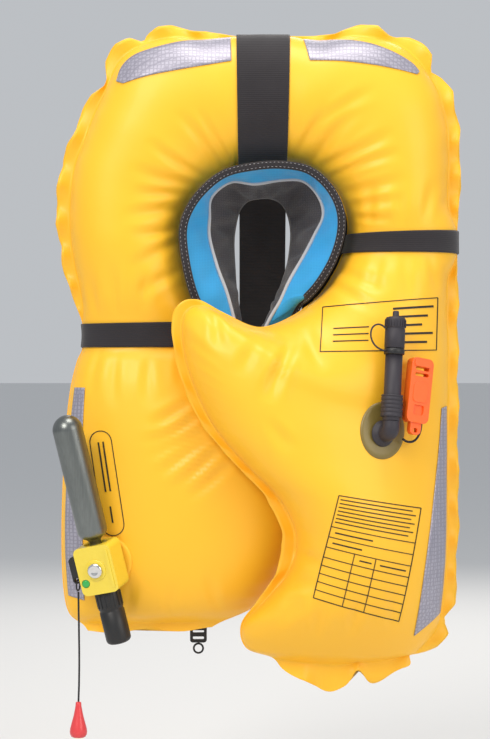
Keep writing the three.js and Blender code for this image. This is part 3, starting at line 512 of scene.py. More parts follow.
    # Folds of the skin on the front: from x, z to x, z, how deep and how wide.
    folds: tuple = (
        (-60, 62, -112, 96, 2.6, 5), (-66, 54, -128, 70, 2.8, 6), (-74, 44, -126, 48, 2.4, 5),
        (-80, 30, -138, 26, 2.4, 6), (-84, 14, -130, 2, 2.0, 5), (-44, 72, -84, 122, 2.4, 5),
        (-86, -4, -134, -26, 2.0, 6), (-82, -30, -126, -58, 2.4, 6), (-36, 76, -62, 128, 1.8, 4),
        (36, 84, 62, 132, 2.2, 5), (46, 78, 92, 124, 2.8, 6), (56, 72, 124, 106, 3.0, 6),
        (66, 62, 132, 84, 2.8, 5), (76, 50, 140, 58, 2.6, 6), (84, 36, 136, 36, 2.0, 5),
        (88, 24, 130, 20, 2.0, 4), (60, 118, 110, 150, 1.8, 6), (24, -112, 8, -162, 7.0, 7),
        (-6, -108, -22, -138, 3.0, 7), (44, -96, 60, -134, 3.0, 8), (-52, -78, -44, -112, 3.0, 6),
        (-74, -172, -112, -192, 4.4, 6), (-66, -184, -116, -210, 5.4, 6), (-58, -194, -110, -226, 5.6, 6),
        (-50, -206, -102, -240, 5.6, 6), (-42, -218, -90, -254, 5.2, 6), (-34, -232, -78, -266, 4.6, 6),
        (-26, -246, -64, -276, 3.6, 6),
        (76, -30, 122, -52, 2.4, 7), (70, -44, 112, -74, 2.4, 7), (-150, -120, -156, -168, 2.0, 6),
        (-120, -124, -118, -166, 2.2, 6), (-170, -116, -178, -158, 1.6, 5), (-86, -120, -84, -150, 2.0, 6),
        (-152, -76, -158, -32, 2.2, 6), (-124, -72, -122, -36, 2.2, 6), (-172, -78, -180, -40, 1.8, 5),
        (112, 14, 108, 54, 1.8, 6), (140, 16, 142, 52, 1.8, 6), (168, 18, 174, 58, 1.8, 6),
        (118, -18, 112, -58, 2.2, 7), (146, -18, 148, -60, 2.2, 7), (172, -18, 178, -56, 1.8, 6),
        (6, -188, 26, -214, 2.4, 7), (24, -322, 60, -330, 3.0, 8), (10, -356, 52, -350, 2.6, 8),
        (92, -404, 96, -366, 3.0, 7), (52, -408, 60, -372, 3.0, 7), (132, -398, 130, -360, 2.6, 7),
        (18, -396, 34, -366, 2.4, 7), (-182, -384, -170, -344, 1.8, 6), (-140, -398, -136, -356, 2.0, 6),
        (-96, -398, -96, -360, 2.0, 6), (-48, -386, -56, -350, 2.2, 6),
    )
    # Reflective tapes: the name, then the points of the two long edges, x and z.
    tapes: tuple = (
        ("reflective_tape_top_left",
         ((-152, 163), (-147, 178), (-136, 189), (-119, 196), (-87, 204), (-61, 207), (-34, 210)),
         ((-145, 160), (-119, 167), (-87, 173), (-61, 177.5), (-33, 182.5))),
        ("reflective_tape_top_right",
         ((42, 208), (70, 207), (102, 204), (128, 196), (153, 183), (162, 173)),
         ((48, 183), (81, 182), (112, 178.5), (139, 174), (159, 170))),
        ("reflective_tape_left",
         ((-196, -155), (-201, -200), (-205, -262), (-206, -320), (-203, -372)),
         ((-185, -155), (-187, -200), (-187, -262), (-187, -320), (-186, -376))),
        ("reflective_tape_right",
         ((190, -174), (190, -220), (189, -273), (187, -336), (183, -388)),
         ((184, -176), (180, -222), (173, -275), (164, -338), (155, -410))),
    )
    # How far the weld flange's edge stands past the stations' outline, in millimetres, by station.
    frill: tuple = (
        (0, 0), (11, 0), (11.7, 2), (12.1, -2), (12.6, 3), (13.1, 1), (13.5, 4), (14, 0), (14.5, 3), (15, 0),
        (15.5, 2), (15.9, 1), (16.25, -8), (16.4, -7), (16.6, 2), (17, 5), (17.3, 2), (17.5, -9), (17.65, -2),
        (17.9, 3), (18.2, 3), (18.6, -1), (19, 1), (20, 0), (22, 0), (23, -1), (23.4, -3), (23.9, 2), (24.3,
                                                                                                       3),
        (24.6, -5), (24.75, -5), (25, 2), (25.35, 6), (25.55, 4), (25.75, -8), (26, -2), (26.4, 4), (26.8, 0),
        (27.2, 3), (27.8, 0), (28.4, 2), (29, 0), (30, 0), (32, 0), (33, 2), (34, -1), (35.5, 2), (37, -1),
        (38.5, 2), (40, -1), (41, 2), (42, 0), (43, 2), (44, -1), (45, 2), (45.8, 3), (46.4, -7), (46.7, -5),
        (47.1, 4), (47.7, 4), (48.2, -4), (48.6, 0), (60, 0))
    positions: np.ndarray = field(init=False)
    normals: np.ndarray = field(init=False)
    rows: np.ndarray = field(init=False)
    front_t: np.ndarray = field(init=False)

    def __post_init__(self) -> None:
        """Works the skin out, fitted to the frame's own bladder box."""
        low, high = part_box("bladder")
        self.stretch = ((high[0] - low[0]) / (self.drawn_width * MM),
                        (high[2] - low[2]) / (self.drawn_height * MM))
        self.rows = np.arange(0, len(self.stations) - 1 + 1e-9, 1 / self.per_station)
        self.front_t = (1 - np.cos(np.pi * np.linspace(0, 1, self.front_columns + 1))) / 2
        self._lay_out()

    def section_values(self, rows: np.ndarray) -> np.ndarray:
        """Gives the stations' numbers at places between them."""
        values = spline(self.stations, rows)
        values[:, 4:6] = np.maximum(values[:, 4:6], 0.8)
        values[:, 8:10] = np.maximum(values[:, 8:10], 1.2)
        return values

    def _lay_out(self) -> None:
        """Places every corner of the skin, with its puckers, folds and ruffled flange."""
        values = self.section_values(self.rows)[:, None, :]
        outer = np.stack([values[..., 0], values[..., 6], values[..., 1]], -1)
        inner = np.stack([values[..., 2], values[..., 7], values[..., 3]], -1)
        middle = (outer + inner) / 2 + np.stack([0 * values[..., 10], 0 * values[..., 10], values[..., 10]],
                                                -1)

        def towards(target: np.ndarray, source: np.ndarray, length: np.ndarray) -> np.ndarray:
            """Moves source towards target by a length."""
            way = target - source
            return source + way / np.linalg.norm(way, axis=-1, keepdims=True) * length[..., None]

        start, end = towards(middle, inner, values[..., 9]), towards(middle, outer, values[..., 8])
        along_outer = np.concatenate([[0], np.cumsum(np.linalg.norm(np.diff(outer[:, 0], axis=0), axis=1))])
        along_inner = np.concatenate([[0], np.cumsum(np.linalg.norm(np.diff(inner[:, 0], axis=0), axis=1))])
        overlap = smooth_step(self.rows, self.overlap_from - 1, self.overlap_from + 1)[:, None]
        taut = smooth_step(self.rows, 0.4, 2.0) * (1 - smooth_step(self.rows, 48.2, 49.0))

        def skin(t: np.ndarray, side: int) -> np.ndarray:
            """One side of the skin at shares t of the way from the inner to the outer seam.

            Args:
                t: shares of the way across.
                side: -1 for the front and 1 for the back.

            Returns:
                A grid of points in millimetres.
            """
            t = t[None, :]
            path = (start * ((1 - t) ** 2)[..., None] + middle * (2 * t * (1 - t))[..., None]
                    + end * (t ** 2)[..., None])
            crown = np.sqrt(np.clip(1 - (2 * t - 1) ** 2, 0, 1)) ** 0.94
            deep = values[..., 4] if side < 0 else values[..., 5]
            held = 1 if side < 0 else 1 - overlap * (1 - smooth_step(t, 0.12, 0.5))
            inner_pitch, inner_height, inner_reach = self.inner_pucker
            outer_pitch, outer_height, outer_reach = self.outer_pucker
            inner_wave = np.sin(2 * math.pi * (along_inner / inner_pitch + 0.3 * np.sin(along_inner / 29)))
            outer_wave = np.sin(2 * math.pi * (along_outer / outer_pitch + 0.35 * np.sin(along_outer / 47)))
            pucker = (outer_wave[:, None] * outer_height * np.exp(-((1 - t) / outer_reach) ** 2)
                      + inner_wave[:, None] * inner_height * np.exp(-(t / inner_reach) ** 2))
            pucker = pucker * taut[:, None] * crown
            path[..., 1] += side * (self.seam + deep * crown * held + pucker)
            return path

        front, back = skin(self.front_t, -1), skin(
            (1 - np.cos(np.pi * np.linspace(0, 1, self.back_columns + 1))) / 2, 1)
        lift = np.array([0, self.seam, 0])
        table = np.array(self.frill)
        past = np.interp(self.rows, table[:, 0], table[:, 1])[:, None]
        outside = self._flange(end, outer, along_outer, self.ruffle_swings[1], past)
        inside = self._flange(start, inner, along_inner, self.ruffle_swings[0])
        ring = np.concatenate([inside[:, ::-1] - lift, front, outside - lift, outside[:, ::-1] + lift,
                               back[:, ::-1], inside + lift], axis=1)
        ring = ring * np.array([self.stretch[0], 1, self.stretch[1]])
        ring = self._ruffle_ends(ring)
        piece = swept("skin_draft", ring * MM)
        count = ring.shape[0] * ring.shape[1]
        found = np.zeros(len(piece.data.vertices) * 3)
        piece.data.vertices.foreach_get("normal", found)
        normals = found.reshape(-1, 3)[:count].reshape(ring.shape)
        bpy.data.objects.remove(piece)
        pushed = ring + normals * (self._fold_depth(ring, normals) * taut[:, None])[..., None]
        self.positions, self.normals = pushed * MM, normals

    def _flange(self, edge: np.ndarray, tip: np.ndarray, along: np.ndarray, swing: float,
                past: np.ndarray | float = 0.0) -> np.ndarray:
        """The flat weld from the skin's edge to its tip, ruffled more towards the tip.

        Args:
            edge: the weld's inner edge.
            tip: its outer edge.
            along: how far round the outline each station lies.
            swing: how far the ruffle swings.
            past: how far the tip stands past its outline.

        Returns:
            A grid of points in millimetres.
        """
        share = np.linspace(0, 1, self.flange_columns + 1)[None, 1:]
        sheet = edge + (tip - edge) * share[..., None]
        width = np.linalg.norm(tip - edge, axis=-1)
        ruffle = np.sin(2 * math.pi * (along / self.ruffle_pitches[0] + 0.4 * np.sin(along / 61)))[:, None]
        fine = np.sin(2 * math.pi * along / self.ruffle_pitches[1] + 2.0 * np.sin(along / 37))[:, None]
        size = smooth_step(width, 2.0, 9.0)
        sheet[..., 1] += share ** 1.5 * (swing * ruffle + 0.4 * fine) * size
        reach = (0.05 * ruffle + 0.02 * fine) * size + past / np.maximum(width, 1)
        return sheet + (tip - edge) * (share ** 1.3 * reach)[..., None]

    def _ruffle_ends(self, ring: np.ndarray) -> np.ndarray:
        """Ruffles the flange below each lobe's bottom seam."""
        x = ring[..., 0]
        right = np.clip((self.rows - 48.7) / 2.3, 0, 1)[:, None]
        left = np.clip((1.3 - self.rows) / 1.3, 0, 1)[:, None]
        notch = 15 * np.exp(-((x - 99) / 8) ** 2) - 4 * np.sin(x / 8.5) * np.clip((x - 20) / 40, 0, 1)
        ring[..., 2] += right * notch + left * 1.6 * np.sin(x / 11)
        ring[..., 1] += right * (5.5 * np.sin(x / 9.0 + 0.6) + 1.6 * np.sin(x / 4.1))
        ring[..., 1] += left * (2.2 * np.sin(x / 12.0) + 0.8 * np.sin(x / 5.3))
        return ring

    def _fold_depth(self, ring: np.ndarray, normals: np.ndarray) -> np.ndarray:
        """How far the folds push each corner out along its normal, in millimetres.

        Args:
            ring: the skin's corners in millimetres.
            normals: the way each corner faces.

        Returns:
            One depth for each corner.
        """
        x, z = ring[..., 0], ring[..., 2]
        facing = np.clip(-normals[..., 1] * 1.6, 0, 1)
        depth = np.zeros(x.shape)
        over = (self.rows >= self.overlap_from - 1.5)[:, None]
        for x0, z0, x1, z1, deep, wide in self.folds:
            way = np.array([x1 - x0, z1 - z0], float)
            length = np.linalg.norm(way)
            way /= length
            u = ((x - x0) * way[0] + (z - z0) * way[1]) / length
            wander = 0.12 * length * np.sin(u * 2.6 + x0) * 0.35
            across = -(x - x0) * way[1] + (z - z0) * way[0] + wander
            taper = np.clip(np.sin(math.pi * np.clip((u + 0.12) / 1.3, 0, 1)), 0, 1) ** 1.2
            width = wide * (0.68 + 0.34 * np.clip(u, 0, 1))
            trough = np.exp(-(across / width) ** 2)
            ridge = np.exp(-((np.abs(across) - 1.9 * width) / (0.9 * width)) ** 2)
            on_right_lobe = (x0 + x1) / 2 > -50 if z0 < -150 else z0 < -60 and x0 > -60
            part = over if on_right_lobe else ((~over) | (z0 > -60)) if z0 > -170 else ~over
            depth += (0.35 * ridge - trough) * 0.8 * deep * taper * part
        return depth * facing

    def on_skin(self, rows: np.ndarray, columns: np.ndarray, lift: float) -> np.ndarray:
        """Points lifted off the skin.

        Args:
            rows: places along the bladder, counted in stations.
            columns: places round the section, counted in columns.
            lift: how far off the skin, in metres.

        Returns:
            A grid of points, rows by columns by 3.
        """
        r = np.clip(rows * self.per_station, 0, len(self.rows) - 1.001)
        c = np.asarray(columns, float)
        r0, c0 = np.floor(r).astype(int), np.floor(c).astype(int)
        fr, fc = (r - r0)[:, None, None], (c - c0)[None, :, None]
        width = self.positions.shape[1]

        def sample(grid: np.ndarray) -> np.ndarray:
            """Reads the grid between its corners."""
            a, b = grid[r0][:, c0 % width], grid[r0][:, (c0 + 1) % width]
            d, e = grid[r0 + 1][:, c0 % width], grid[r0 + 1][:, (c0 + 1) % width]
            return (a * (1 - fc) + b * fc) * (1 - fr) + (d * (1 - fc) + e * fc) * fr

        normal = sample(self.normals)
        normal /= np.linalg.norm(normal, axis=-1, keepdims=True)
        return sample(self.positions) + normal * lift

    def build(self) -> None:
        """Builds the bladder, its bands and its reflective tape."""
        skin = swept("bladder_skin", self.positions)
        self.tree = BVHTree.FromPolygons([v.co for v in skin.data.vertices],
                                         [tuple(f.vertices) for f in skin.data.polygons])
        dress(skin, BLADDER_SKIN, "jacket", "bladder_fabric", "bladder")
        for name, first, last in (("left_lobe_band", 9.0, 10.0), ("nape_band", 20.0, 22.0),
                                  ("right_lobe_band", 30.0, 31.0)):
            self._band(name, first, last)
        for name, first, second in self.tapes:
            self._tape(name, first, second)

    def project(self, x: float, z: float, lift: float) -> tuple[float, float, float]:
        """Lays a point on the front skin.

        Args:
            x: how far to the right, in millimetres.
            z: how far up, in millimetres.
            lift: how far off the skin, in millimetres.

        Returns:
            The point in metres.
        """
        found, normal, _, _ = self.tree.ray_cast(Vector((x * MM, -1, z * MM)), Vector((0, 1, 0)))
        return tuple(found + normal * (lift * MM))

    def _band(self, name: str, first: float, last: float) -> None:
        """Wraps one elastic band round the chamber between two stations.

        Args:
            name: the band's CAD node.
            first: the station where it starts.
            last: the station where it ends.
        """
        columns = np.arange(self.positions.shape[1])
        profile = [(0.0, 0.9), (0.0, 1.9), (0.04, 2.3), *[(u, 2.4) for u in np.linspace(0.1, 0.9, 9)],
                   (0.96, 2.3), (1.0, 1.9), (1.0, 0.9)]
        rings = [self.on_skin(np.array([first + (last - first) * u]), columns, lift * MM)[0] for u,
                 lift in profile]
        band = swept(name + "_elastic", np.array(rings), closed=True)
        LOG.info("%s has %d columns round the chamber", name, len(columns))
        dress(band, ELASTIC, "jacket", "elastic", name)

    def _tape(self, name: str, first: tuple, second: tuple) -> None:
        """Lays one strip of reflective tape on the front skin.

        Args:
            name: the tape's CAD node.
            first: one long edge's points, x and z in millimetres.
            second: the other long edge's points, in the same direction.
        """
        at = np.linspace(0, 1, 60)
        edges = spline(first, at * (len(first) - 1)), spline(second, at * (len(second) - 1))
        share = np.linspace(0, 1, 12)[:, None]
        rings = []
        for one, other in zip(*edges):
            spots = one + (other - one) * share
            rings.append([self.project(x, z, self.tape_lifts[0]) for x, z in spots]
                         + [self.project(x, z, self.tape_lifts[1]) for x, z in spots[::-1]])
        dress(swept(name + "_film", np.array(rings)), REFLECTIVE, "jacket", "reflective", name)


# ---------------------------------------------------------------- collar
@dataclass
class Collar:
    """The cover's collar: bound rim, pack cloth, piping and mesh lining round the neck opening.

    Each row follows the opening round, in millimetres: rim x, z and y, piping x and z, lining x and z.
    """

    steps: int = 160
    piping_y: float = -60.0
    lining_y: float = 0.0
    rows: tuple = (
        (-58, -86, -84, -30, -84, -22, -84), (-71, -60, -90, -38, -55, -27, -54),
        (-79, -30, -95, -48, -28, -29, -26), (-83, 5, -95, -56, 2, -30, 0), (-77, 28, -95, -56, 22, -28, 18),
        (-62, 49, -95, -54, 44, -24, 33), (-40, 66, -95, -34, 60, -16, 43), (-12, 73, -97, -8, 58, -4, 46),
        (18, 75, -97, 18, 62, 9, 46), (46, 70, -96, 42, 61, 20, 40), (67, 53, -95, 58, 45, 26, 29),
        (79, 30, -95, 63, 25, 29, 15), (80, 5, -94, 54, 5, 29, 0), (72, -22, -91, 42, -18, 26, -22),
        (58, -46, -86, 28, -42, 20, -42), (46, -60, -77, 18, -64, 12, -64), (38, -67, -60, 8, -81, 4, -80),
        (26, -88, -46, 0, -97, -2, -96),
    )

    def __post_init__(self) -> None:
        """Works out the rim's, the piping's and the lining's curves."""
        table = spline(self.rows, np.linspace(0, len(self.rows) - 1, self.steps + 1))
        self.rim = np.stack([table[:, 0], table[:, 2], table[:, 1]], 1)
        self.pipe = np.stack([table[:, 3], np.full(len(table), self.piping_y), table[:, 4]], 1)
        self.line = np.stack([table[:, 5], np.full(len(table), self.lining_y), table[:, 6]], 1)

    def _out(self, curve: np.ndarray) -> np.ndarray:
        """Unit directions away from the opening's middle."""
        way = np.gradient(curve, axis=0)
        out = np.stack([-way[:, 2], 0 * way[:, 1], way[:, 0]], 1)
        return out / np.linalg.norm(out, axis=1, keepdims=True)

    def _round(self, name: str, curve: np.ndarray, wide: float, deep: float, sides: int = 14,
               ripple: float = 0.0) -> bpy.types.Object:
        """Sweeps a rounded section along a curve.

        Args:
            name: the piece's name.
            curve: its path in millimetres.
            wide: how wide the section is.
            deep: how deep it is along y.
            sides: how many sides it has.
            ripple: how much it swells and shrinks along the path.

        Returns:
            The swept piece.
        """
        out = self._out(curve)
        turn = np.linspace(0, 2 * math.pi, sides, endpoint=False)
        power = 0.6
        shape = np.stack([np.sign(np.cos(turn)) * np.abs(np.cos(turn)) ** power * wide / 2,
                          np.sign(np.sin(turn)) * np.abs(np.sin(turn)) ** power * deep / 2], 1)
        swell = 1 + ripple * np.sin(np.arange(len(curve)) * 2.4)[:, None]
        rings = (curve[:, None] + out[:, None] * (shape[None, :, 0] * swell)[..., None]
                 + np.array([0, 1, 0]) * (shape[None, :, 1] * swell)[..., None])
        return swept(name, rings * MM)

    def _funnel(self, name: str, front: np.ndarray, back: np.ndarray, columns: int, crease: float,
                thickness: float, trim: tuple[float, float]) -> bpy.types.Object:
        """Makes a creased sheet between two curves, with a back of its own.

        Args:
            name: the piece's name.
            front: the front edge in millimetres.
            back: the back edge.
            columns: how many columns lie between them.
            crease: how far the creases push it out.
            thickness: how thick the cloth is.
            trim: how far it stops short of each edge.

        Returns:
            The sheet.
        """
        share = np.linspace(0, 1, columns)[None, :, None]
        a, b = front[:, None], back[:, None]
        length = np.linalg.norm(b - a, axis=-1, keepdims=True)
        sheet = a + (b - a) * (trim[0] / length + share * (1 - (trim[0] + trim[1]) / length))
        out = self._out(front)[:, None]
        along = np.arange(len(front))[:, None, None] / len(front)
        folds = (np.sin(along * 61 + share * 2.2) + 0.7 * np.sin(along * 97 - share * 3.1 + 1.0)
                 + 0.5 * np.sin(along * 23 + 4.0))
        slack = np.sin(math.pi * share) ** 0.8
        sheet = sheet + out * slack * (crease * folds - 0.25 * crease)
        rings = np.concatenate([sheet, (sheet + out * thickness)[:, ::-1]], axis=1)
        return swept(name, rings * MM)

    def build(self) -> None:
        """Builds the collar's four layers and the rim's stitches."""
        binding = self._round("collar_binding_tape", self.rim, 8.5, 5.0, ripple=0.0)
        dress(binding, ELASTIC, "jacket", "elastic", "collar_binding")
        forward = np.array([0, -2.6, 0])
        edges = [(self.rim + self._out(self.rim) * shift + forward) * MM for shift in (-2.2, 2.4)]
        Stitching(2.2, 0.5, 4.2).lay("collar_binding_stitches", edges, THREAD, "jacket", "elastic")
        cloth = self._funnel("collar_pack_cloth", self.rim, self.pipe, 12, 1.4, 1.2, (3.0, 1.0))
        dress(cloth, PACK_CLOTH, "jacket", "collar_fabric", "collar_cover")
        piping = self._round("collar_piping_cord", self.pipe, 3.6, 3.6, 12)
        dress(piping, PIPING_CLOTH, "jacket", "piping", "collar_piping")
        lining = self._funnel("collar_mesh_lining", self.pipe, self.line, 18, 2.2, 1.2, (1.0, 0.0))
        dress(lining, MESH_KNIT, "jacket", "mesh_lining", "collar_lining")


# ---------------------------------------------------------------- places and shared shapes
def joint(name: str, key: str) -> Vector:
    """One of a joint's vectors, such as its place or its axis."""
    return Vector(JOINTS[name][key])


def own_frame(origin: Vector, back: Vector, up: Vector) -> Matrix:
    """A piece's own frame: +Z up along it, +Y into the jacket.

    Args:
        origin: where the frame sits.
        back: its y axis.
        up: its z axis, squared to the y axis.

    Returns:
        The matrix from the frame to the jacket.
    """
    up = up.normalized()
    right = back.cross(up).normalized()
    made = Matrix((right, up.cross(right), up)).transposed().to_4x4()
    made.translation = origin
    return made


def placed(piece: bpy.types.Object, place: Matrix) -> bpy.types.Object:
    """Moves a piece's mesh into a frame, with the object left at the origin."""
    piece.data.transform(place)
    return piece


def block(name: str, size: tuple[float, float, float], at: tuple[float, float, float] = (0, 0, 0),
          corner: float = 0.0) -> bpy.types.Object:
    """Makes a block in millimetres whose upright edges are rounded.

    Args:
        name: the piece's name.
        size: its width, depth and height.
        at: its middle.
        corner: the round of its edges along Y.

    Returns:
        The new object, in metres.
    """
    w, h = size[0] / 2, size[2] / 2
    ring = []
    for cx, cz, turn in ((w, h, 0), (-w, h, 90), (-w, -h, 180), (w, -h, 270)):
        steps = 6 if corner else 0
        for n in range(steps + 1):
            a = math.radians(turn + (90 * n / steps if steps else 45))
            x = cx - math.copysign(corner, cx) + corner * math.cos(a) if corner else cx
            z = cz - math.copysign(corner, cz) + corner * math.sin(a) if corner else cz
            ring.append((x + at[0], z + at[2]))
    return plate(name, ring, at[1] - size[1] / 2, size[1])


def plate(name: str, outline: list[tuple[float, float]], y: float, thickness: float) -> bpy.types.Object:
    """Makes a plate in the XZ plane from its outline, in millimetres."""
    rings = np.array([[(x, y + d, z) for x, z in outline] for d in (0, thickness)], float)
    return swept(name, rings * MM, smooth=False)


def carve(piece: bpy.types.Object, *tools: bpy.types.Object, join: bool = False) -> bpy.types.Object:
    """Cuts tools out of a piece, or joins them to it, and removes them.

    Args:
        piece: the piece that changes.
        *tools: the pieces that are used up.
        join: whether they are joined instead of cut.

    Returns:
        The same piece.
    """
    for tool in tools:
        cutter = piece.modifiers.new("carve", "BOOLEAN")
        cutter.operation = "UNION" if join else "DIFFERENCE"
        cutter.solver = "EXACT"
        cutter.object = tool
        freeze(piece)
        bpy.data.objects.remove(tool)
    return piece


def across(radius: float, near: float, far: float, x: float, z: float, sides: int = 40) -> bpy.types.Object:
    """Makes a round bar along Y, used to cut holes, in millimetres.

    Args:
        radius: its radius in millimetres.
        near: where it starts along y.
        far: where it ends.
        x: its axis's place along x.
        z: its axis's place along z.
        sides: how many sides it has.

    Returns:
        The rod.
    """
    rings = np.array([[(x + radius * math.cos(a), y, z + radius * math.sin(a))
                       for a in (2 * math.pi * n / sides for n in range(sides))] for y in (near, far)])
    return swept("bar", rings * MM)


def along_path(name: str, points: np.ndarray, section: list[tuple[float, float]], across_axis: Vector,
               closed: bool = False) -> bpy.types.Object:
    """Sweeps a section along a path.

    Args:
        name: the piece's name.
        points: the path in metres.
        section: corners as (along the width, through the thickness) in millimetres.
        across_axis: the direction of the width.
        closed: whether the path closes on itself.

    Returns:
        The new object.
    """
    path = np.asarray(points, float)
    ahead = np.roll(path, -1, 0) - np.roll(path, 1, 0) if closed else np.gradient(path, axis=0)
    ahead /= np.linalg.norm(ahead, axis=1, keepdims=True)
    wide = np.tile(np.array(across_axis, float), (len(path), 1))
    wide -= ahead * np.sum(wide * ahead, axis=1, keepdims=True)
    wide /= np.linalg.norm(wide, axis=1, keepdims=True)
    thick = np.cross(ahead, wide)
    shape = np.array(section) * MM
    rings = path[:, None] + wide[:, None] * shape[None, :, :1] + thick[:, None] * shape[None, :, 1:]
    return swept(name, rings, closed=closed)


def round_cord(name: str, points: np.ndarray, diameter: float, sides: int = 12) -> bpy.types.Object:
    """Sweeps a round cord along a path, in metres, with its frame carried along it.

    Args:
        name: the piece's name.
        points: its path, in metres.
        diameter: its diameter in millimetres.
        sides: how many sides it has.

    Returns:
        The cord.
    """
    path = np.asarray(points, float)
    ahead = np.gradient(path, axis=0)
    ahead /= np.linalg.norm(ahead, axis=1, keepdims=True)
    side = np.cross(ahead[0], [0.3, 0.9, 0.1])
    rings = []
    for p, a in zip(path, ahead):
        side = side - a * np.dot(side, a)
        side /= np.linalg.norm(side)
        other = np.cross(a, side)
        rings.append([p + diameter / 2 * (math.cos(t) * side + math.sin(t) * other)
                      for t in (2 * math.pi * n / sides for n in range(sides))])
    return swept(name, np.array(rings))


def smooth_path(points: list, per_step: int) -> np.ndarray:
    """Follows a smooth curve through points with even steps between them."""
    table = np.asarray(points, float)
    return spline(table, np.linspace(0, len(table) - 1, (len(table) - 1) * per_step + 1))


def ring_of(name: str, radius: float, rod: float, place: Matrix, sides: int = 40) -> bpy.types.Object:
    """Makes a ring of round rod in a frame's XY plane, in millimetres."""
    profile = [(radius + rod * math.cos(a), rod * math.sin(a))
               for a in (2 * math.pi * n / 12 for n in range(13))]
    return turned(name, profile, place, sides)


def finish_node(name: str, finish: Finish) -> None:
    """Gives a carried-over node its finish, in every slot that it has.

    Args:
        name: the CAD node's name.
        finish: its finish.
    """
    piece = frame["nodes"][name]
    for held in piece.material_slots:
        held.link = "OBJECT"
        held.material = finish.material()
    LOG.info("%s keeps its shape", name)


# ---------------------------------------------------------------- stitches
@dataclass
class Stitching:
    """A run of thread stitches along a line, laid by Geometry Nodes."""

    length: float = 3.0
    width: float = 0.9
    spacing: float = 5.0

    def _tree(self, finish: Finish) -> bpy.types.NodeTree:
        """Builds the node tree, with its sizes as named inputs."""
        tree = bpy.data.node_groups.new("stitches_along_a_line", "GeometryNodeTree")
        tree.interface.new_socket("Line", in_out="INPUT", socket_type="NodeSocketGeometry")
        for name in ("Spacing", "Stitch Length", "Stitch Width"):
            tree.interface.new_socket(name, in_out="INPUT", socket_type="NodeSocketFloat")
        tree.interface.new_socket("Stitches", in_out="OUTPUT", socket_type="NodeSocketGeometry")
        given = add_node(tree, "NodeGroupInput").outputs
        line = add_node(tree, "GeometryNodeMeshToCurve", None, {"Mesh": given["Line"]})
        even = add_node(tree, "GeometryNodeResampleCurve", None,
                        {"Curve": line.outputs[0], "Length": given["Spacing"]}, mode="LENGTH")
        tangent = add_node(tree, "GeometryNodeInputTangent")
        turn = add_node(tree, "FunctionNodeAlignRotationToVector", None, {"Vector": tangent.outputs[0]},
                        axis="Z")
        bead = add_node(tree, "GeometryNodeMeshIcoSphere", {"Radius": 0.5, "Subdivisions": 1})
        size = add_node(tree, "ShaderNodeCombineXYZ", None,
                        {"X": given["Stitch Width"], "Y": given["Stitch Width"], "Z": given["Stitch Length"]})
        laid = add_node(tree, "GeometryNodeInstanceOnPoints", None,
                        {"Points": even.outputs[0], "Instance": bead.outputs[0], "Rotation": turn.outputs[0],
                         "Scale": size.outputs[0]})
        real = add_node(tree, "GeometryNodeRealizeInstances", None, {"Geometry": laid.outputs[0]})
        thread = add_node(tree, "GeometryNodeSetMaterial", {"Material": finish.material()},
                          {"Geometry": real.outputs[0]})
        add_node(tree, "NodeGroupOutput", None, {"Stitches": thread.outputs[0]})
        return tree

    def lay(self, name: str, lines: list[np.ndarray], finish: Finish, body: str,
            slot: str) -> bpy.types.Object:
        """Lays stitches along lines.

        Args:
            name: the piece's name.
            lines: each line's points in metres.
            finish: the thread's finish.
            body: the body that they ride on.
            slot: the record's material slot.

        Returns:
            The stitches as one plain mesh.
        """
        points, edges = [], []
        for line in lines:
            first = len(points)
            points += [tuple(map(float, p)) for p in line]
            edges += [(first + n, first + n + 1) for n in range(len(line) - 1)]
        mesh = bpy.data.meshes.new(name)
        mesh.from_pydata(points, edges, [])
        piece = bpy.data.objects.new(name, mesh)
        bpy.context.scene.collection.objects.link(piece)
        tree = self._tree(finish)
        layer = piece.modifiers.new("stitches", "NODES")
        layer.node_group = tree
        sizes = {"Spacing": self.spacing, "Stitch Length": self.length, "Stitch Width": self.width}
        for item in tree.interface.items_tree:
            if item.in_out == "INPUT" and item.name in sizes:
                layer[item.identifier] = sizes[item.name] * MM
        freeze(piece)
        return dress(piece, finish, body, slot)


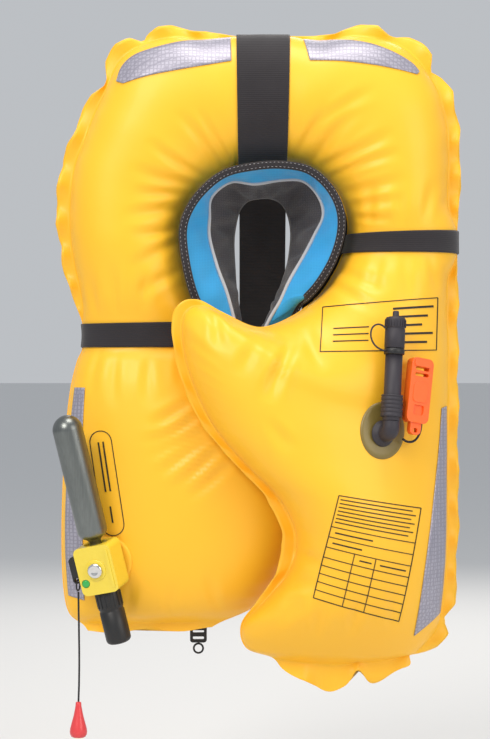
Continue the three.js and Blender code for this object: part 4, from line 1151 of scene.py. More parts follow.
# ---------------------------------------------------------------- harness
@dataclass
class Harness:
    """The cover's back panel, the waist belt with its buckle, the back strap and the hanging strap end."""

    width: float = 38.0
    thickness: float = 1.6
    strap_width: float = 50.0
    front: float = 10.4
    back: float = 190.0
    half_width: float = 165.0
    corner: float = 45.0
    panel_y: float = 4.0
    panel_thickness: float = 3.0
    strap_path: tuple = ((0, 10, 60), (0, 16, 40), (0, 40, 0), (0, 80, -60), (0, 130, -130), (0, 170, -200))

    def __post_init__(self) -> None:
        """Reads the belt's height from the frame."""
        low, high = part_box("waist_belt_left")
        self.belt_z = (low[2] + high[2]) / 2 / MM

    def _section(self, width: float, thickness: float) -> list[tuple[float, float]]:
        """Webbing's section: flat faces with thicker woven edges.

        Args:
            width: the webbing's width in millimetres.
            thickness: its thickness.

        Returns:
            The corners of its section.
        """
        w, t = width / 2, thickness / 2
        return [(-w, -t * 0.6), (-w + 1, -t * 1.15), (-w + 2.2, -t), (0, -t * 0.95), (w - 2.2, -t),
                (w - 1, -t * 1.15),
                (w, -t * 0.6), (w, t * 0.6), (w - 1, t * 1.15), (w - 2.2, t), (0, t * 0.95), (-w + 2.2, t),
                (-w + 1, t * 1.15), (-w, t * 0.6)]

    def _belt(self, name: str, side: int, start_x: float, front: float) -> None:
        """Runs one half of the waist belt round the waist.

        Args:
            name: the CAD node's name.
            side: -1 for the jacket's left as seen from the front, 1 for its right.
            start_x: where its front end is.
            front: the front run's y.
        """
        middle = self.half_width - self.corner
        rows = [(x, front) for x in np.linspace(start_x, side * middle, 12)[:-1]]
        turn = np.linspace(0, math.pi / 2, 13)
        rows += [(side * (middle + self.corner * math.sin(a)),
                  front + self.corner - self.corner * math.cos(a))
                 for a in turn]
        rows += [(side * (middle + self.corner * math.cos(a)),
                  self.back - self.corner + self.corner * math.sin(a))
                 for a in turn]
        rows += [(x, self.back) for x in np.linspace(side * middle, side * 0.3, 10)[1:]]
        path = np.array([(x, y, self.belt_z) for x, y in rows]) * MM
        belt = along_path(name + "_webbing", path, self._section(self.width, self.thickness),
                          Vector((0, 0, 1)))
        dress(belt, WEBBING, "jacket", "elastic", name)

    def _slider(self, name: str, body: str, middle: tuple[float, float, float],
                size: tuple[float, float, float],
                slot: tuple[float, float], bar: bool) -> None:
        """Moulds a flat slider frame with its slots.

        Args:
            name: the CAD node's name.
            body: the body that it rides on.
            middle: its middle.
            size: its width, depth and height.
            slot: the webbing slot's depth and height.
            bar: whether ribs stand on its front face.
        """
        piece = block(name + "_moulding", size, middle, 2.5)
        carve(piece, block("slot", (size[0] + 4, slot[0], slot[1]), middle))
        if bar:
            ribs = [block("rib", (1.4, 1.0, size[2] - 8),
                          (middle[0] + dx, middle[1] - size[1] / 2, middle[2]))
                    for dx in (-3, 0, 3)]
            carve(piece, *ribs, join=True)
        soften(piece, 0.5 * MM, 2)
        dress(piece, BLACK_PLASTIC, body, "black_plastic", name)

    def _loop(self, name: str, side: int) -> None:
        """Sews one belt loop to the cover.

        Args:
            name: the loop's CAD node.
            side: -1 for the left and 1 for the right.
        """
        low, high = (Vector(c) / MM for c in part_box(name))
        y, z = (low.y + high.y) / 2, (low.z + high.z) / 2
        h, d, r = (high.z - low.z) / 2 - 0.8, (high.y - low.y) / 2 - 0.8, 2.5
        ring = []
        for cz, cy, start in ((h - r, d - r, 0), (-h + r, d - r, 90), (-h + r, -d + r, 180),
                              (h - r, -d + r, 270)):
            for a in np.radians(np.linspace(start, start + 90, 6)):
                ring.append((side * 105, y + cy + r * math.sin(a), z + cz + r * math.cos(a)))
        loop = along_path(name + "_webbing", np.array(ring) * MM, self._section(24, 1.6), Vector((1, 0, 0)),
                          closed=True)
        dress(loop, WEBBING, "jacket", "elastic", name)

    def _panel(self) -> None:
        """Sews the cover's back panel, with its slit, its neck hole and its bound edge."""
        outline = [(42, -335), (140, -335), (158, -300), (160, -200), (150, -90), (158, 20), (150, 90),
                   (110, 150),
                   (55, 172), (-55, 172), (-110, 150), (-150, 90), (-160, 20), (-150, -90), (-165, -200),
                   (-165, -300), (-150, -335), (-42, -335), (-42, -95), (-46, -50), (-52, 0), (-48, 34), (-28,
                                                                                                          58),
                   (0, 62), (30, 58), (52, 32), (50, 0), (44, -50), (42, -95)]
        low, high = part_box("cover_back_panel")
        zoom = ((high[0] - low[0]) / MM / 325, (high[2] - low[2]) / MM / 507)
        outline = [(x * zoom[0], z * zoom[1]) for x, z in outline]
        work = bmesh.new()
        work.faces.new([work.verts.new((x * MM, self.panel_y * MM, z * MM)) for x, z in outline])
        for axis, reach in ((0, 170), (2, 345)):
            for cut in range(-reach, reach, 11):
                spot, way = [0, 0, 0], [0, 0, 0]
                spot[axis], way[axis] = cut * MM, 1
                bmesh.ops.bisect_plane(work, geom=work.verts[:] + work.edges[:] + work.faces[:],
                                       plane_co=spot,
                                       plane_no=way)
        bmesh.ops.triangulate(work, faces=[f for f in work.faces if len(f.verts) > 4])
        raised = bmesh.ops.extrude_face_region(work, geom=work.faces[:])["geom"]
        for corner in (c for c in raised if isinstance(c, bmesh.types.BMVert)):
            x, z = corner.co.x / MM, corner.co.z / MM
            quilt = 0.35 * math.sin(x / 9) * math.sin(z / 11) + 0.25 * math.sin(x / 31 + z / 23)
            corner.co.y += (self.panel_thickness - 0.5 + quilt) * MM
        mesh = bpy.data.meshes.new("cover_back_cloth")
        work.to_mesh(mesh)
        work.free()
        panel = bpy.data.objects.new("cover_back_cloth", mesh)
        bpy.context.scene.collection.objects.link(panel)
        turn_outwards(panel)
        dress(panel, COVER_CLOTH, "jacket", "mesh_lining", "cover_back_panel")
        rim = np.array([(x, self.panel_y + 1.5, z) for x, z in outline + outline[:1]])
        steps = np.concatenate([np.linspace(rim[i], rim[i + 1], 7)[:-1] for i in range(len(rim) - 1)])
        bound = self._edge_tape(steps)
        dress(bound, WEBBING, "jacket", "elastic")

    def _edge_tape(self, steps: np.ndarray) -> bpy.types.Object:
        """Folds a tape over the cover's edge all the way round, in millimetres."""
        ahead = np.roll(steps, -1, 0) - np.roll(steps, 1, 0)
        ahead /= np.linalg.norm(ahead, axis=1, keepdims=True)
        out = np.cross(ahead, [0, 1, 0])
        shape = [(-3.5, -1.7), (0.2, -1.9), (1.0, -1.0), (1.0, 1.0), (0.2, 1.9), (-3.5, 1.7)]
        centre = steps.mean(0)
        if np.mean(np.sum(out * (steps - centre), axis=1)) < 0:
            out = -out
        rings = np.stack([steps + out * a + np.array([0, b, 0]) for a, b in shape], 1)
        return swept("cover_edge_tape", rings * MM, closed=True)

    def _buckle(self) -> None:
        """Moulds the side-release buckle and the webbing that goes with its tongue."""
        z, y = self.belt_z, self.front
        socket = block("buckle_socket", (33.7, 12, 50), (-13.15, y, z), 5)
        carve(socket, block("mouth", (44, 6.8, 30.8), (-3, y, z)),
              block("window", (12, 20, 12), (-10, y - 6, z), 3),
              block("top_gap", (15, 20, 8), (-8, y, z + 24), 3), block("low_gap", (15, 20, 8),
                                                                       (-8, y, z - 24), 3))
        soften(socket, 1.0 * MM, 3)
        dress(socket, BLACK_PLASTIC, "jacket", "black_plastic", "buckle_female")
        end = 12
        prongs = [(-9, -15), (-20, -15), (-30, -12), (-30, -8), (-16, -9), (-16, -3), (-28, -3), (-28, 3),
                  (-16, 3),
                  (-16, 9), (-30, 8), (-30, 12), (-20, 15), (-9, 15)]
        tongue = plate("buckle_tongue_moulding", [(end + a, z + b) for a, b in prongs], y - 3, 6)
        carve(tongue, block("shoulder", (14, 8.2, 46), (11, y + 1.4, z), 3),
              block("neck", (12, 5, 20), (6, y, z)), join=True)
        soften(tongue, 0.7 * MM, 2)
        dress(tongue, BLACK_PLASTIC, "buckle_tongue", "black_plastic", "buckle_male")
        path = np.array([(x, y, z) for x in np.linspace(18.3, 82, 14)]) * MM
        tail = along_path("tongue_webbing", path, self._section(self.width, self.thickness),
                          Vector((0, 0, 1)))
        dress(tail, WEBBING, "buckle_tongue", "elastic", "belt_webbing_front")

    def _strap_end(self) -> None:
        """Hangs the short strap end under the left lobe, with its slider and ring."""
        low, high = (Vector(c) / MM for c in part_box("belt_tail"))
        path = np.array([((low.x + high.x) / 2, (low.y + high.y) / 2, z) for z in np.linspace(high.z, low.z,
                                                                                              24)])
        strap = along_path("strap_end_webbing", path * MM, self._section(16, 1.6), Vector((1, 0, 0)))
        dress(strap, WEBBING, "tail", "elastic", "belt_tail")
        low, high = (Vector(c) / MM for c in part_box("tail_slider"))
        middle = (low + high) / 2
        slider = block("strap_end_slider", (18, 6, 18), tuple(middle), 3)
        carve(slider, block("slot", (12, 12, 3), (middle.x, middle.y, middle.z - 4), 1),
              block("slot", (12, 12, 2.4), (middle.x, middle.y, middle.z + 3), 0.8))
        soften(slider, 0.6 * MM, 2)
        dress(slider, BLACK_PLASTIC, "tail", "black_plastic", "tail_slider")
        low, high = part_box("tail_ring")
        middle = (Vector(low) + Vector(high)) / 2
        ring = ring_of("strap_end_ring", 5.0, 1.05, Matrix.Translation(middle) @ Matrix.Rotation(math.pi / 2,
                                                                                                 4, "X"))
        dress(ring, BLACK_PLASTIC, "tail", "black_plastic", "tail_ring")

    def build(self) -> None:
        """Builds the harness."""
        self._panel()
        layer = self.thickness + 0.3
        self._belt("waist_belt_left", -1, -36.3, self.front)
        self._belt("waist_belt_right", 1, 54.0, self.front + layer)
        self._slider("belt_adjuster", "jacket", (74, self.front + layer / 2, self.belt_z),
                     (12, 8, self.width + 8),
                     (5.0, self.width + 1.4), True)
        self._slider("back_strap_slider", "jacket", (0, self.back, self.belt_z), (60, 8, self.width + 10),
                     (2.8, self.width + 1.4), False)
        self._loop("belt_loop_left", -1)
        self._loop("belt_loop_right", 1)
        self._buckle()
        points = [*self.strap_path, (0, self.back - 4.6, self.belt_z + 34)]
        path = smooth_path(points, 10) * MM
        strap = along_path("back_strap_webbing", path, self._section(self.strap_width, self.thickness),
                           Vector((1, 0, 0)))
        dress(strap, WEBBING, "jacket", "elastic", "back_strap")
        self._strap_end()


# ---------------------------------------------------------------- inflator
@dataclass
class Inflator:
    """The firing head with its gas cylinder, lever, water-sensing capsule and pull cord."""

    width: float = 40.0
    depth: float = 34.0
    height: float = 50.0
    cylinder_diameter: float = 31.0
    cylinder_length: float = 131.0
    neck_diameter: float = 12.7
    capsule_diameter: float = 26.0
    capsule_length: float = 56.0
    nut_diameter: float = 15.5
    lever_thickness: float = 6.0
    cord_diameter: float = 2.0
    cord_route: tuple = (
        (0, 0, 0), (0, 0, 7), (0.1, 0, 14), (0.2, 0, 22), (0.4, 0.1, 30), (0.5, 0.1, 38), (0.6, 0.1, 46),
        (0.7, 0.1, 54), (0.8, 0.1, 62), (0.8, 0.1, 70), (0.8, 0.1, 78), (0.7, 0, 86), (0.6, 0, 94), (0.4, 0,
                                                                                                     101),
        (0.2, 0, 107), (0, 0, 113))

    def __post_init__(self) -> None:
        """Places the head's own frame on the gas cylinder's axis."""
        self.place = own_frame(joint("cylinder_turn", "pos_m"), -joint("lever_pull", "axis"),
                               joint("cylinder_feed", "axis"))

    def _turned_y(self) -> Matrix:
        """The head's frame with its Z turned to face out of the jacket."""
        return self.place @ Matrix.Rotation(math.pi / 2, 4, "X")

    def _body(self) -> None:
        """Moulds the yellow head: block, cylinder collar, capsule skirt, front boss and lever slot."""
        body = block("firing_head", (self.width, self.depth, self.height), (0, 0, 0), 6)
        still = Matrix.Identity(4)
        top, bottom = self.height / 2, -self.height / 2
        collar = turned("collar", [(0, top - 6), (16.0, top - 6), (16.0, top - 1.0), (15.0, top), (12.5, top),
                                   (12.5, top - 3), (0, top - 3)], still, 48)
        skirt = turned("skirt", [(0, bottom + 8), (14.0, bottom + 8), (14.6, bottom + 0.6), (14.0, bottom),
                                 (0, bottom)], still, 48)
        boss = turned("boss", [(0, 0), (11, 0), (11, 17.6), (10.2, 18.2), (0, 18.2)],
                      Matrix.Rotation(math.pi / 2, 4, "X"), 48)
        rib = block("rib", (3, 2.4, 40), (15.5, -self.depth / 2, 0), 1.4)
        carve(body, collar, skirt, boss, rib, join=True)
        carve(body, turned("recess", [(0, top - 3), (12.5, top - 3), (12.5, top + 3), (0, top + 3)], still,
                           40),
              turned("bore", [(0, 0), (6.9, 0), (6.9, top + 3), (0, top + 3)], still, 32),
              turned("socket", [(0, bottom - 3), (9.9, bottom - 3), (9.9, bottom + 8), (0, bottom + 8)],
                     still, 32),
              block("lever_slot", (14, self.lever_thickness + 0.8, 35), (-16, 0, 0.5), 1),
              block("lever_slot", (9, self.lever_thickness + 0.8, 10), (-18, 0, -18)),
              across(4.4, -self.depth / 2 - 3, -self.depth / 2 + 2.4, -14, -12))
        soften(body, 1.1 * MM, 3, 40)
        dress(placed(body, self.place), YELLOW_PLASTIC, "jacket", "yellow_plastic", "inflator_body")
        light = turned("ready_indicator", [(0, 14.6), (4.0, 14.6), (4.0, 17.2), (3.2, 17.9), (0, 18.2)],
                       self._turned_y() @ Matrix.Translation(Vector((-14, -12, 0)) * MM), 32)
        dress(light, GREEN_PLASTIC, "jacket", "green_plastic", "status_indicator")
        nut_profile = [(0, 17.3), (7.0, 17.3), (self.nut_diameter / 2, 18.0), (self.nut_diameter / 2, 20.6),
                       (6.6, 21.7), (4.0, 22.0), (3.6, 21.6), (0, 21.6)]
        nut = turned("manifold_cap_nut", nut_profile, self._turned_y(), 48)
        dress(nut, CHROME, "jacket", "chrome", "cap_nut")

    def _cylinder(self) -> None:
        """Draws the gas cylinder: domed top, round shoulder, bare neck."""
        r, shoulder, top = self.cylinder_diameter / 2, 39.3, 29.3 + self.cylinder_length
        arc = [(r - 9 + 9 * math.cos(a), shoulder + 9 * math.sin(a)) for a in np.radians(np.linspace(-76, 0,
                                                                                                     12))]
        dome = [(r * math.cos(a), top - r + r * math.sin(a)) for a in np.radians(np.linspace(0, 88, 20))]
        neck = self.neck_diameter / 2
        profile = [(0, 18.9), (1.9, 18.9), (1.9, 13.9), (neck - 0.5, 13.9), (neck, 14.5), (neck, 27.5),
                   (neck + 0.8, 29.0), *arc, *dome, (0, top)]
        cylinder = turned("gas_cylinder", profile, self.place, 72)
        dress(cylinder, GUNMETAL, "cylinder", "cylinder_steel", "co2_cylinder")

    def _capsule(self) -> None:
        """Moulds the water-sensing capsule with its ribs and water inlet."""
        r, top = self.capsule_diameter / 2, -25.3
        end = top - self.capsule_length
        rim = [(r - 5 + 5 * math.cos(a), end + 5 + 5 * math.sin(a)) for a in np.radians(np.linspace(-90, 0,
                                                                                                    9))]
        profile = [(0, end + 2), (7.0, end + 2), (7.6, end), *rim, (r, top - 22), (r - 0.7, top - 21.4),
                   (r - 0.7, top - 19), (r, top - 18.4), (r, top - 1), (r - 0.8, top), (9.5, top), (9.5,
                                                                                                    top + 6),
                   (7.7, top + 6), (7.7, end + 4), (0, end + 4)]
        capsule = turned("water_sensing_capsule", profile, self.place, 64)
        ribs = []
        for n in range(16):
            turn = Matrix.Rotation(2 * math.pi * n / 16, 4, "Z")
            ribs.append(placed(block("rib", (1.3, 1.6, 15), (0, -r + 0.3, top - 9.5), 0.5),
                               self.place @ turn))
        joined = join_pieces(capsule, ribs)
        dress(joined, BLACK_PLASTIC, "capsule", "black_plastic", "auto_capsule")

    def _lever(self) -> None:
        """Moulds the firing lever and bends its small ring."""
        shape = [(-11, -4), (-14, -5), (-22, -11), (-25, -13), (-31, -13), (-33, -10), (-33, 12), (-30, 15),
                 (-25, 15), (-21.5, 8), (-14, 5), (-11, 4)]
        t = self.lever_thickness
        lever = plate("firing_lever", shape, -t / 2, t)
        carve(lever, across(1.9, -8, 8, -15, 0, 24), across(2.4, -8, 8, -28.5, -9.5, 28),
              block("grip", (2, 12, 14), (-34, 0, 2), 0.9))
        soften(lever, 0.7 * MM, 3)
        dress(placed(lever, self.place), BLACK_PLASTIC, "lever", "black_plastic", "pull_lever")
        low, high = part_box("cord_ring")
        eye = (Vector(low) + Vector(high)) / 2
        facing = joint("cord_follow", "axis").cross(Vector((0, 0, 1))).normalized()
        ring = ring_of("lever_cord_ring", 5.5, 0.8, own_frame(eye, joint("cord_follow", "axis"), facing))
        dress(ring, CORD_BRAID, "cord_link", "cord", "cord_ring")

    def _cord(self) -> None:
        """Hangs the pull cord from the ring, with its red toggle."""
        top = joint("cord_swing", "pos_m")
        route = smooth_path([(top.x / MM + a, top.y / MM - b, top.z / MM - c) for a, b, c in self.cord_route],
                            4) * MM
        cord = round_cord("pull_cord_line", route, self.cord_diameter * MM)
        dress(cord, CORD_BRAID, "cord", "cord", "pull_cord")
        z = -0.3
        profile = [(0, z), (2.2, z), (2.9, z - 0.8), (3.1, z - 4), (3.6, z - 7), (5.0, z - 14), (6.9, z - 21),
                   (8.5, z - 27), (9.0, z - 30.5), (8.7, z - 33.2), (7.4, z - 35.6), (5.4, z - 36.7),
                   (0, z - 37)]
        low = Matrix.Translation(Vector(route[-1]))
        toggle = turned("pull_toggle_drop", profile, low, 56)
        dress(toggle, RED_PLASTIC, "cord", "red_plastic", "pull_toggle")

    def build(self) -> None:
        """Builds the inflator."""
        self._body()
        self._cylinder()
        self._capsule()
        self._lever()
        self._cord()
        for name, finish in (("manifold_stem", CHROME), ("stem_gasket", RUBBER), ("lever_pin", CHROME),
                             ("piercing_pin", CHROME), ("cylinder_seal", RUBBER), ("capsule_seal", RUBBER),
                             ("capsule_bobbin", WHITE_PLASTIC), ("capsule_spring", GUNMETAL),
                             ("capsule_hammer", BLACK_PLASTIC)):
            finish_node(name, finish)


def join_pieces(first: bpy.types.Object, others: list[bpy.types.Object]) -> bpy.types.Object:
    """Joins pieces into the first one's mesh, each still its own closed shell.

    Args:
        first: the piece that stays.
        others: the pieces that go into it.

    Returns:
        The joined piece.
    """
    work = bmesh.new()
    for piece in (first, *others):
        work.from_mesh(piece.data)
    work.to_mesh(first.data)
    work.free()
    for piece in others:
        bpy.data.objects.remove(piece)
    return first


# ---------------------------------------------------------------- oral tube and whistle
@dataclass
class OralTube:
    """The oral inflation tube with its elbow, sleeve, valve, cap, tether and whistle."""

    diameter: float = 17.5
    length: float = 76.0
    wall: float = 1.8
    reach: float = 16.0
    whistle_width: float = 26.0
    whistle_length: float = 78.0
    whistle_thickness: float = 10.0

    def __post_init__(self) -> None:
        """Places the tube's own frame on its axis, by the tube's middle."""
        up = joint("cap_pull", "axis").normalized()
        low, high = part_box("oral_tube")
        middle = (Vector(low) + Vector(high)) / 2
        bottom = 9.3
        axis_point = middle - up * ((bottom + self.length) / 2 * MM)
        self.place = own_frame(axis_point, -joint("whistle_pull", "axis"), up)
        self.cap_top = self.length + 0.3 + 6 + 0.3 + 32

    def _elbow(self) -> None:
        """Moulds the elbow out of its flange and up into the tube."""
        r = self.diameter / 2
        bend = [(0, self.reach - 1.5, -3), (0, self.reach - 4, -3), (0, 8, -3), (0, 4, -2.2), (0, 1.2, -0.2),
                (0, 0, 3), (0, 0, 6), (0, 0, 9)]
        path = smooth_path(bend, 5) * MM
        elbow = round_cord("oral_elbow_bend", path, self.diameter * MM, 40)
        flange = turned("flange", [(0, 0), (13, 0), (13.4, 0.8), (12.4, 1.8), (r + 1.4, 3.4), (r + 0.1, 6),
                                   (0, 6)],
                        Matrix.Translation((0, (self.reach - 0.8) * MM,
                                            -3 * MM)) @ Matrix.Rotation(math.pi / 2, 4, "X"),
                        48)
        elbow = join_pieces(elbow, [flange])
        dress(placed(elbow, self.place), RUBBER, "jacket", "black_rubber", "oral_elbow")

    def _tube(self) -> None:
        """Draws the tube, its sleeve and its ring."""
        r = self.diameter / 2
        tube = turned("oral_tube_wall", [(0, 9.3), (r - 0.4, 9.3), (r, 9.8), (r, self.length),
                                         (r - self.wall, self.length),
                                         (r - self.wall, 13.3), (0, 13.3)], self.place, 56)
        dress(tube, RUBBER, "jacket", "black_rubber", "oral_tube")
        sleeve = [(r + 0.3, 13.3), (r + 2.0, 13.3), (r + 2.3, 14.0)]
        for n in range(5):
            z = 16.6 + n * 4
            sleeve += [(r + 2.3, z), (r + 1.8, z + 0.5), (r + 1.8, z + 0.9), (r + 2.3, z + 1.4)]
        sleeve += [(r + 2.3, 34.6), (r + 2.0, 35.3), (r + 0.3, 35.3), (r + 0.3, 13.3)]
        dress(turned("oral_tube_sleeve", sleeve, self.place, 56), RUBBER, "jacket", "black_rubber",
              "oral_sleeve")
        low = self.length + 0.3
        ring = [(r - 1.8, low), (r + 1.2, low), (r + 1.8, low + 0.8), (r + 1.8, low + 5.2),
                (r + 1.2, low + 6),
                (r - 1.8, low + 6), (r - 1.8, low)]
        dress(turned("oral_tube_ring", ring, self.place, 56), BLACK_PLASTIC, "jacket", "black_plastic",
              "tube_collar")

    def _cap(self) -> None:
        """Moulds the cap, with its knurled end and nub."""
        r, low, top = self.diameter / 2, self.length + 6.6, self.cap_top
        profile = [(0, top - 17.1), (r - 1.5, top - 17.1), (r - 1.5, low), (r + 0.9, low),
                   (r + 1.5, low + 0.6),
                   (r + 1.5, top - 12.6), (r + 0.9, top - 12.2), (r + 0.9, top - 11.4), (r + 1.6, top - 11),
                   (r + 1.6, top - 2.6), (r + 0.6, top - 0.9), (r - 2.2, top), (3.8, top), (3.3, top + 0.8),
                   (3.2, top + 5), (2.5, top + 6), (0, top + 6)]
        cap = turned("oral_cap_moulding", profile, self.place, 56)
        ridges = []
        for n in range(24):
            turn = Matrix.Rotation(2 * math.pi * n / 24, 4, "Z")
            ridges.append(placed(block("ridge", (1.2, 1.2, 7.6), (0, -r - 1.6, top - 6.9), 0.5),
                                 self.place @ turn))
        dress(join_pieces(cap, ridges), RUBBER, "tube_cap", "black_rubber", "oral_cap")

    def _own_points(self, points: list[tuple[float, float, float]], per_step: int) -> np.ndarray:
        """Turns points in the tube's frame, in millimetres, into a smooth path in metres."""
        path = smooth_path(points, per_step) * MM
        return np.array([self.place @ Vector(p) for p in path])

    def _tether(self) -> None:
        """Loops the cap's tether from the ring on the tube up to the cap."""
        r = self.diameter / 2
        route = [(2, 13), (3.7, 12), (7.2, 10), (11.7, 9.5), (15.7, 11), (18.6, 14), (19.8, 18), (19.6, 22.5),
                 (17.8, 27), (14.8, 30.6), (11.2, 33), (7.7, 34.4), (4.6, 35.2), (2.8, 35.5), (2.2, 35.5)]
        path = self._own_points([(-r - out, 0, self.cap_top - down) for out, down in reversed(route)], 4)
        tether = round_cord("cap_tether_loop", path, 1.8 * MM)
        tether.data.materials.append(RUBBER.material())
        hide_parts("cap_tether")
        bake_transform(tether)

    def _lanyard(self) -> None:
        """Loops the whistle's cord from the sleeve round to the whistle's eye."""
        r = self.diameter / 2
        route = [(11.2, -7), (14.7, -9), (19.2, -9.6), (24.2, -8.4), (28.2, -5), (31, 0), (32.4, 6),
                 (32.6, 12),
                 (31.6, 18), (29.2, 23), (25.2, 26.6), (20.2, 28.4), (14.8, 28.6), (9.8, 27.4), (5.4, 24.6),
                 (4.2, 21)]
        path = self._own_points([(r + out, 8, rise) for out, rise in reversed(route)], 4)
        lanyard = round_cord("whistle_cord_loop", path, 2.4 * MM)
        lanyard.data.materials.append(CORD_BRAID.material())
        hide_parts("whistle_lanyard")
        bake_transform(lanyard)

    def _whistle(self) -> None:
        """Moulds the flat whistle, with its sound slots, mouthpiece and eye."""
        r = self.diameter / 2
        w, t, length = self.whistle_width, self.whistle_thickness, self.whistle_length
        body = block("flat_whistle", (w, t, length - 12), (0, 0, 6), 6)
        carve(body, block("lug", (13, 6, 18), (0, 0, -length / 2 + 9), 5),
              block("lip", (20, t + 2.4, 8), (0, 0, 34), 2.5),
              block("pad", (17, t + 1.6, 20), (0, 0, 4), 4), join=True)
        carve(body, block("slot", (16, t + 8, 3.4), (0, 0, 22), 1),
              block("slot", (16, t + 8, 3.4), (0, 0, 28), 1),
              across(2.4, -8, 8, 0, -length / 2 + 4.5), block("window", (12, 4, 10), (0, -t / 2, -14), 2))
        soften(body, 1.2 * MM, 3, 40)
        lean = Matrix.Translation(Vector((r + 2.2 + 4 + w / 2, -3,
                                          36)) * MM) @ Matrix.Rotation(math.radians(4), 4, "Y")
        dress(placed(body, self.place @ lean), ORANGE_PLASTIC, "whistle_body", "orange_plastic", "whistle")

    def build(self) -> None:
        """Builds the tube and the whistle."""
        self._elbow()
        self._tube()
        self._cap()
        self._tether()
        self._lanyard()
        self._whistle()
        for name, finish in (("oral_valve_body", WHITE_PLASTIC), ("valve_poppet", RED_PLASTIC),
                             ("valve_spring", GUNMETAL)):
            finish_node(name, finish)


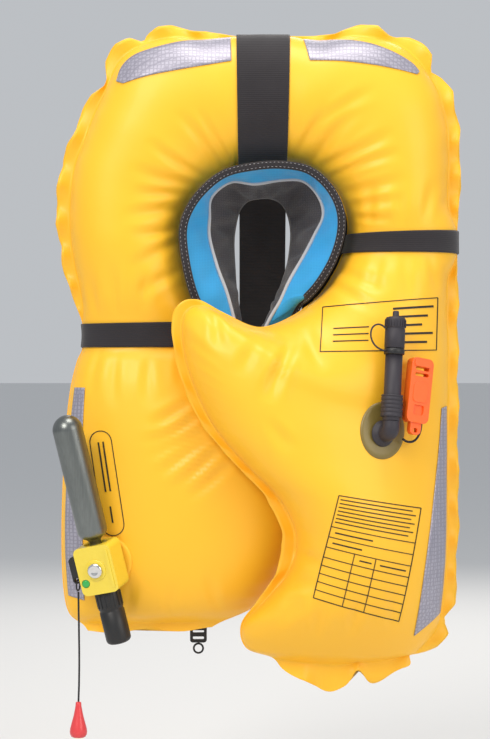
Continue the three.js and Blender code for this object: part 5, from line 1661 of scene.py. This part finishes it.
# ---------------------------------------------------------------- what is welded and printed on the skin
@dataclass
class SkinMarks:
    """Welded patches under the fittings, and plain ruled frames printed on the skin."""

    bladder: Bladder

    def _patch(self, name: str, node: str, slot: str, centre: Vector, size: tuple[float, float],
               finish: Finish) -> None:
        """Welds a round patch to the skin.

        Args:
            name: the piece's name.
            node: the CAD node that it replaces.
            slot: the record's material slot.
            centre: its middle in metres.
            size: its half width and half height in millimetres.
            finish: its finish.
        """
        rings, sides = 10, 56
        points = [[], []]
        for ring in range(rings + 1):
            share = ring / rings
            lift = 1.5 if ring < rings else 0.5
            for n in range(sides):
                a = 2 * math.pi * n / sides
                x = centre.x / MM + size[0] * share * math.cos(a)
                z = centre.z / MM + size[1] * share * math.sin(a)
                points[0].append(self.bladder.project(x, z, lift))
                points[1].append(self.bladder.project(x, z, 0.1))
        faces, count = [], (rings + 1) * sides
        for side in (0, 1):
            for ring in range(rings):
                for n in range(sides):
                    a, b = side * count + ring * sides, side * count + (ring + 1) * sides
                    m = (n + 1) % sides
                    faces.append((a + n, a + m, b + m, b + n))
        last = rings * sides
        faces += [(last + n, last + (n + 1) % sides, count + last + (n + 1) % sides, count + last + n)
                  for n in range(sides)]
        patch = new_piece(name, points[0] + points[1], faces)
        work = bmesh.new()
        work.from_mesh(patch.data)
        bmesh.ops.remove_doubles(work, verts=work.verts, dist=1e-7)
        bmesh.ops.dissolve_degenerate(work, dist=1e-7, edges=work.edges)
        bmesh.ops.recalc_face_normals(work, faces=work.faces)
        work.to_mesh(patch.data)
        work.free()
        dress(patch, finish, "jacket", slot, node)

    def _ruled(self, name: str, lines: list[tuple[float, float, float, float, float]]) -> None:
        """Prints lines on the skin as thin raised ink.

        Args:
            name: the piece's name.
            lines: each line's x, z to x, z and its width, in millimetres.
        """
        points, faces = [], []
        for x0, z0, x1, z1, width in lines:
            length = math.hypot(x1 - x0, z1 - z0)
            steps = max(2, int(length / 3))
            nx, nz = -(z1 - z0) / length * width / 2, (x1 - x0) / length * width / 2
            first = len(points)
            for n in range(steps + 1):
                x, z = x0 + (x1 - x0) * n / steps, z0 + (z1 - z0) * n / steps
                points += [self.bladder.project(x + nx, z + nz, 0.45),
                           self.bladder.project(x - nx, z - nz, 0.45),
                           self.bladder.project(x - nx, z - nz, 0.05), self.bladder.project(x + nx, z + nz,
                                                                                            0.05)]
            faces += [tuple(first + corner for corner in f) for f in grid_faces(steps + 1, 4)]
            faces += [tuple(first + c for c in range(4)), tuple(first + steps * 4 + c for c in range(4))]
        dress(new_piece(name, points, faces, False), PRINT_INK, "jacket", "bladder_fabric")

    def _frame(self, corners: list[tuple[float, float]], width: float) -> list:
        """The four lines round a frame."""
        return [(*corners[n], *corners[(n + 1) % 4], width) for n in range(4)]

    def _long_frame(self, top: Vector, bottom: Vector, radius: float, width: float) -> list:
        """A frame with round ends, and two plain lines along its middle.

        Args:
            top: the upper end's centre, x and z in millimetres.
            bottom: the lower end's centre.
            radius: the ends' radius.
            width: the lines' width.

        Returns:
            The frame's lines, each from x, z to x, z with its width.
        """
        way = (bottom - top).normalized()
        side = Vector((-way.y, way.x))
        ends = [(bottom, 1), (top, -1)]
        spots = [centre + (side * math.cos(turn) + way * math.sin(turn)) * radius * sign
                 for centre, sign in ends for turn in np.linspace(0, math.pi, 13)]
        lines = [(*one, *other, width) for one, other in zip(spots, spots[1:] + spots[:1])]
        for low, high, shift in ((0.0, 0.6, 2.5), (0.0, 0.6, -2.5), (0.78, 0.98, 0.0)):
            one, other = top.lerp(bottom, low) + side * shift, top.lerp(bottom, high) + side * shift
            lines.append((*one, *other, 1.6))
        return lines

    def _inside(self, corners: list[tuple[float, float]], u: float, v: float) -> tuple[float, float]:
        """The place at shares u across and v down a frame.

        Args:
            corners: the frame's four corners.
            u: the share across.
            v: the share down.

        Returns:
            The place, x and z.
        """
        (ax, az), (bx, bz), (cx, cz), (dx, dz) = corners
        return ((ax * (1 - u) + bx * u) * (1 - v) + (dx * (1 - u) + cx * u) * v,
                (az * (1 - u) + bz * u) * (1 - v) + (dz * (1 - u) + cz * u) * v)

    def _bars(self, corners: list, spots: list[tuple[float, float, float, float]], width: float) -> list:
        """Plain lines inside a frame, each from u, v to u, v."""
        return [(*self._inside(corners, a, b), *self._inside(corners, c, d), width) for a, b, c, d in spots]

    def build(self) -> None:
        """Builds the patches and the printed frames."""
        inflator = joint("cylinder_turn", "pos_m") + joint("lever_pull", "axis") * -20.8 * MM
        self._patch("inflator_patch_weld", "inflator_patch", "patch_fabric", inflator, (26, 26), BLADDER_SKIN)
        low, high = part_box("oral_patch")
        self._patch("oral_patch_weld", "oral_patch", "patch_fabric", (Vector(low) + Vector(high)) / 2,
                    (23, 29),
                    PATCH_FILM)
        self._ruled("ruled_frame_side", self._long_frame(Vector((-168, -211)), Vector((-155, -296)), 11.5,
                                                         0.9))
        box = [(61, -72), (180, -62), (178, -116), (57, -118)]
        upper = self._frame(box, 0.9)
        upper += self._bars(box, [(0.6 + 0.02 * (n % 2), 0.16 + 0.17 * n, 0.96 - 0.05 * (n % 3),
                                   0.16 + 0.17 * n)
                                  for n in range(5)], 2.2)
        upper += self._bars(box, [(0.1, 0.5 + 0.14 * n, 0.4, 0.5 + 0.14 * n) for n in range(3)], 1.1)
        self._ruled("ruled_frame_upper", upper)
        table = [(75, -262), (160, -277), (138, -393), (50, -366)]
        lower = self._frame(table, 0.9)
        lower += self._bars(table, [(0.03, 0.035 + 0.036 * n, 0.9 + 0.05 * (n % 2), 0.035 + 0.036 * n)
                                    for n in range(7)], 1.0)
        lower += self._bars(table, [(0, 0.3, 1, 0.3), (0, 0.4, 1, 0.4), (0, 0.5, 1, 0.5)]
                            + [(0, 0.6 + 0.08 * n, 1, 0.6 + 0.08 * n) for n in range(5)]
                            + [(0.33, 0.5, 0.33, 1), (0.58, 0.5, 0.58, 1)], 0.8)
        lower += self._bars(table, [(0.06, 0.35, 0.5, 0.35), (0.06, 0.45, 0.4, 0.45), (0.4, 0.55, 0.54, 0.55),
                                    (0.64, 0.55, 0.95, 0.55)], 1.3)
        self._ruled("ruled_frame_lower", lower)


# ---------------------------------------------------------------- stage
@dataclass
class Studio:
    """Floor, lights and camera."""

    distance: float = 2.6
    frame_height: float = 0.776
    middle: tuple[float, float] = (-0.0189, -0.136)
    floor_z: float = -0.60

    def build(self) -> None:
        """Sets up the floor, the soft lights and the camera."""
        bpy.ops.mesh.primitive_plane_add(size=160, location=(0, 0, self.floor_z))
        floor = bpy.context.object
        floor.name = "studio_floor"
        paper = bpy.data.materials.new("seamless_paper")
        paper.use_nodes = True
        paper.node_tree.nodes["Principled BSDF"].inputs["Base Color"].default_value = linear("d9dadb")
        paper.node_tree.nodes["Principled BSDF"].inputs["Roughness"].default_value = 0.9
        floor.data.materials.append(paper)
        bpy.context.scene.view_settings.view_transform = "Standard"
        world = bpy.data.worlds.new("studio_air")
        bpy.context.scene.world = world
        world.use_nodes = True
        world.node_tree.nodes["Background"].inputs["Color"].default_value = linear("e9edf2")
        world.node_tree.nodes["Background"].inputs["Strength"].default_value = 0.62
        for name, at, size, power in (("key", (-1.3, -2.3, 1.5), 1.2, 46),
                                      ("fill", (1.9, -1.9, 0.6), 1.4, 20),
                                      ("top", (0.1, -0.5, 2.0), 1.0, 26), ("rear", (0.4, 2.2, 1.2), 1.5, 26)):
            lamp = bpy.data.lights.new(name + "_softbox", "AREA")
            lamp.energy = power
            lamp.size = size
            lamp.color = linear("fff8ee")[:3]
            holder = bpy.data.objects.new(name + "_softbox", lamp)
            holder.location = at
            holder.rotation_euler = (Vector((0, -0.05, -0.12)) - Vector(at)).to_track_quat("-Z",
                                                                                           "Y").to_euler()
            bpy.context.scene.collection.objects.link(holder)
        camera = bpy.data.cameras.new("front_camera")
        camera.lens = camera.sensor_width * (self.distance - 0.05) / self.frame_height
        holder = bpy.data.objects.new("front_camera", camera)
        holder.location = (self.middle[0], -self.distance, self.middle[1])
        holder.rotation_euler = (math.pi / 2, 0, 0)
        bpy.context.scene.collection.objects.link(holder)
        bpy.context.scene.camera = holder


def main() -> None:
    """Builds the jacket's sub-assemblies in order."""
    logging.basicConfig(level=logging.INFO, format="%(message)s")
    Studio().build()
    Inflator().build()
    OralTube().build()
    bladder = Bladder()
    bladder.build()
    SkinMarks(bladder).build()
    Collar().build()
    Harness().build()


if __name__ == "__main__":
    main()
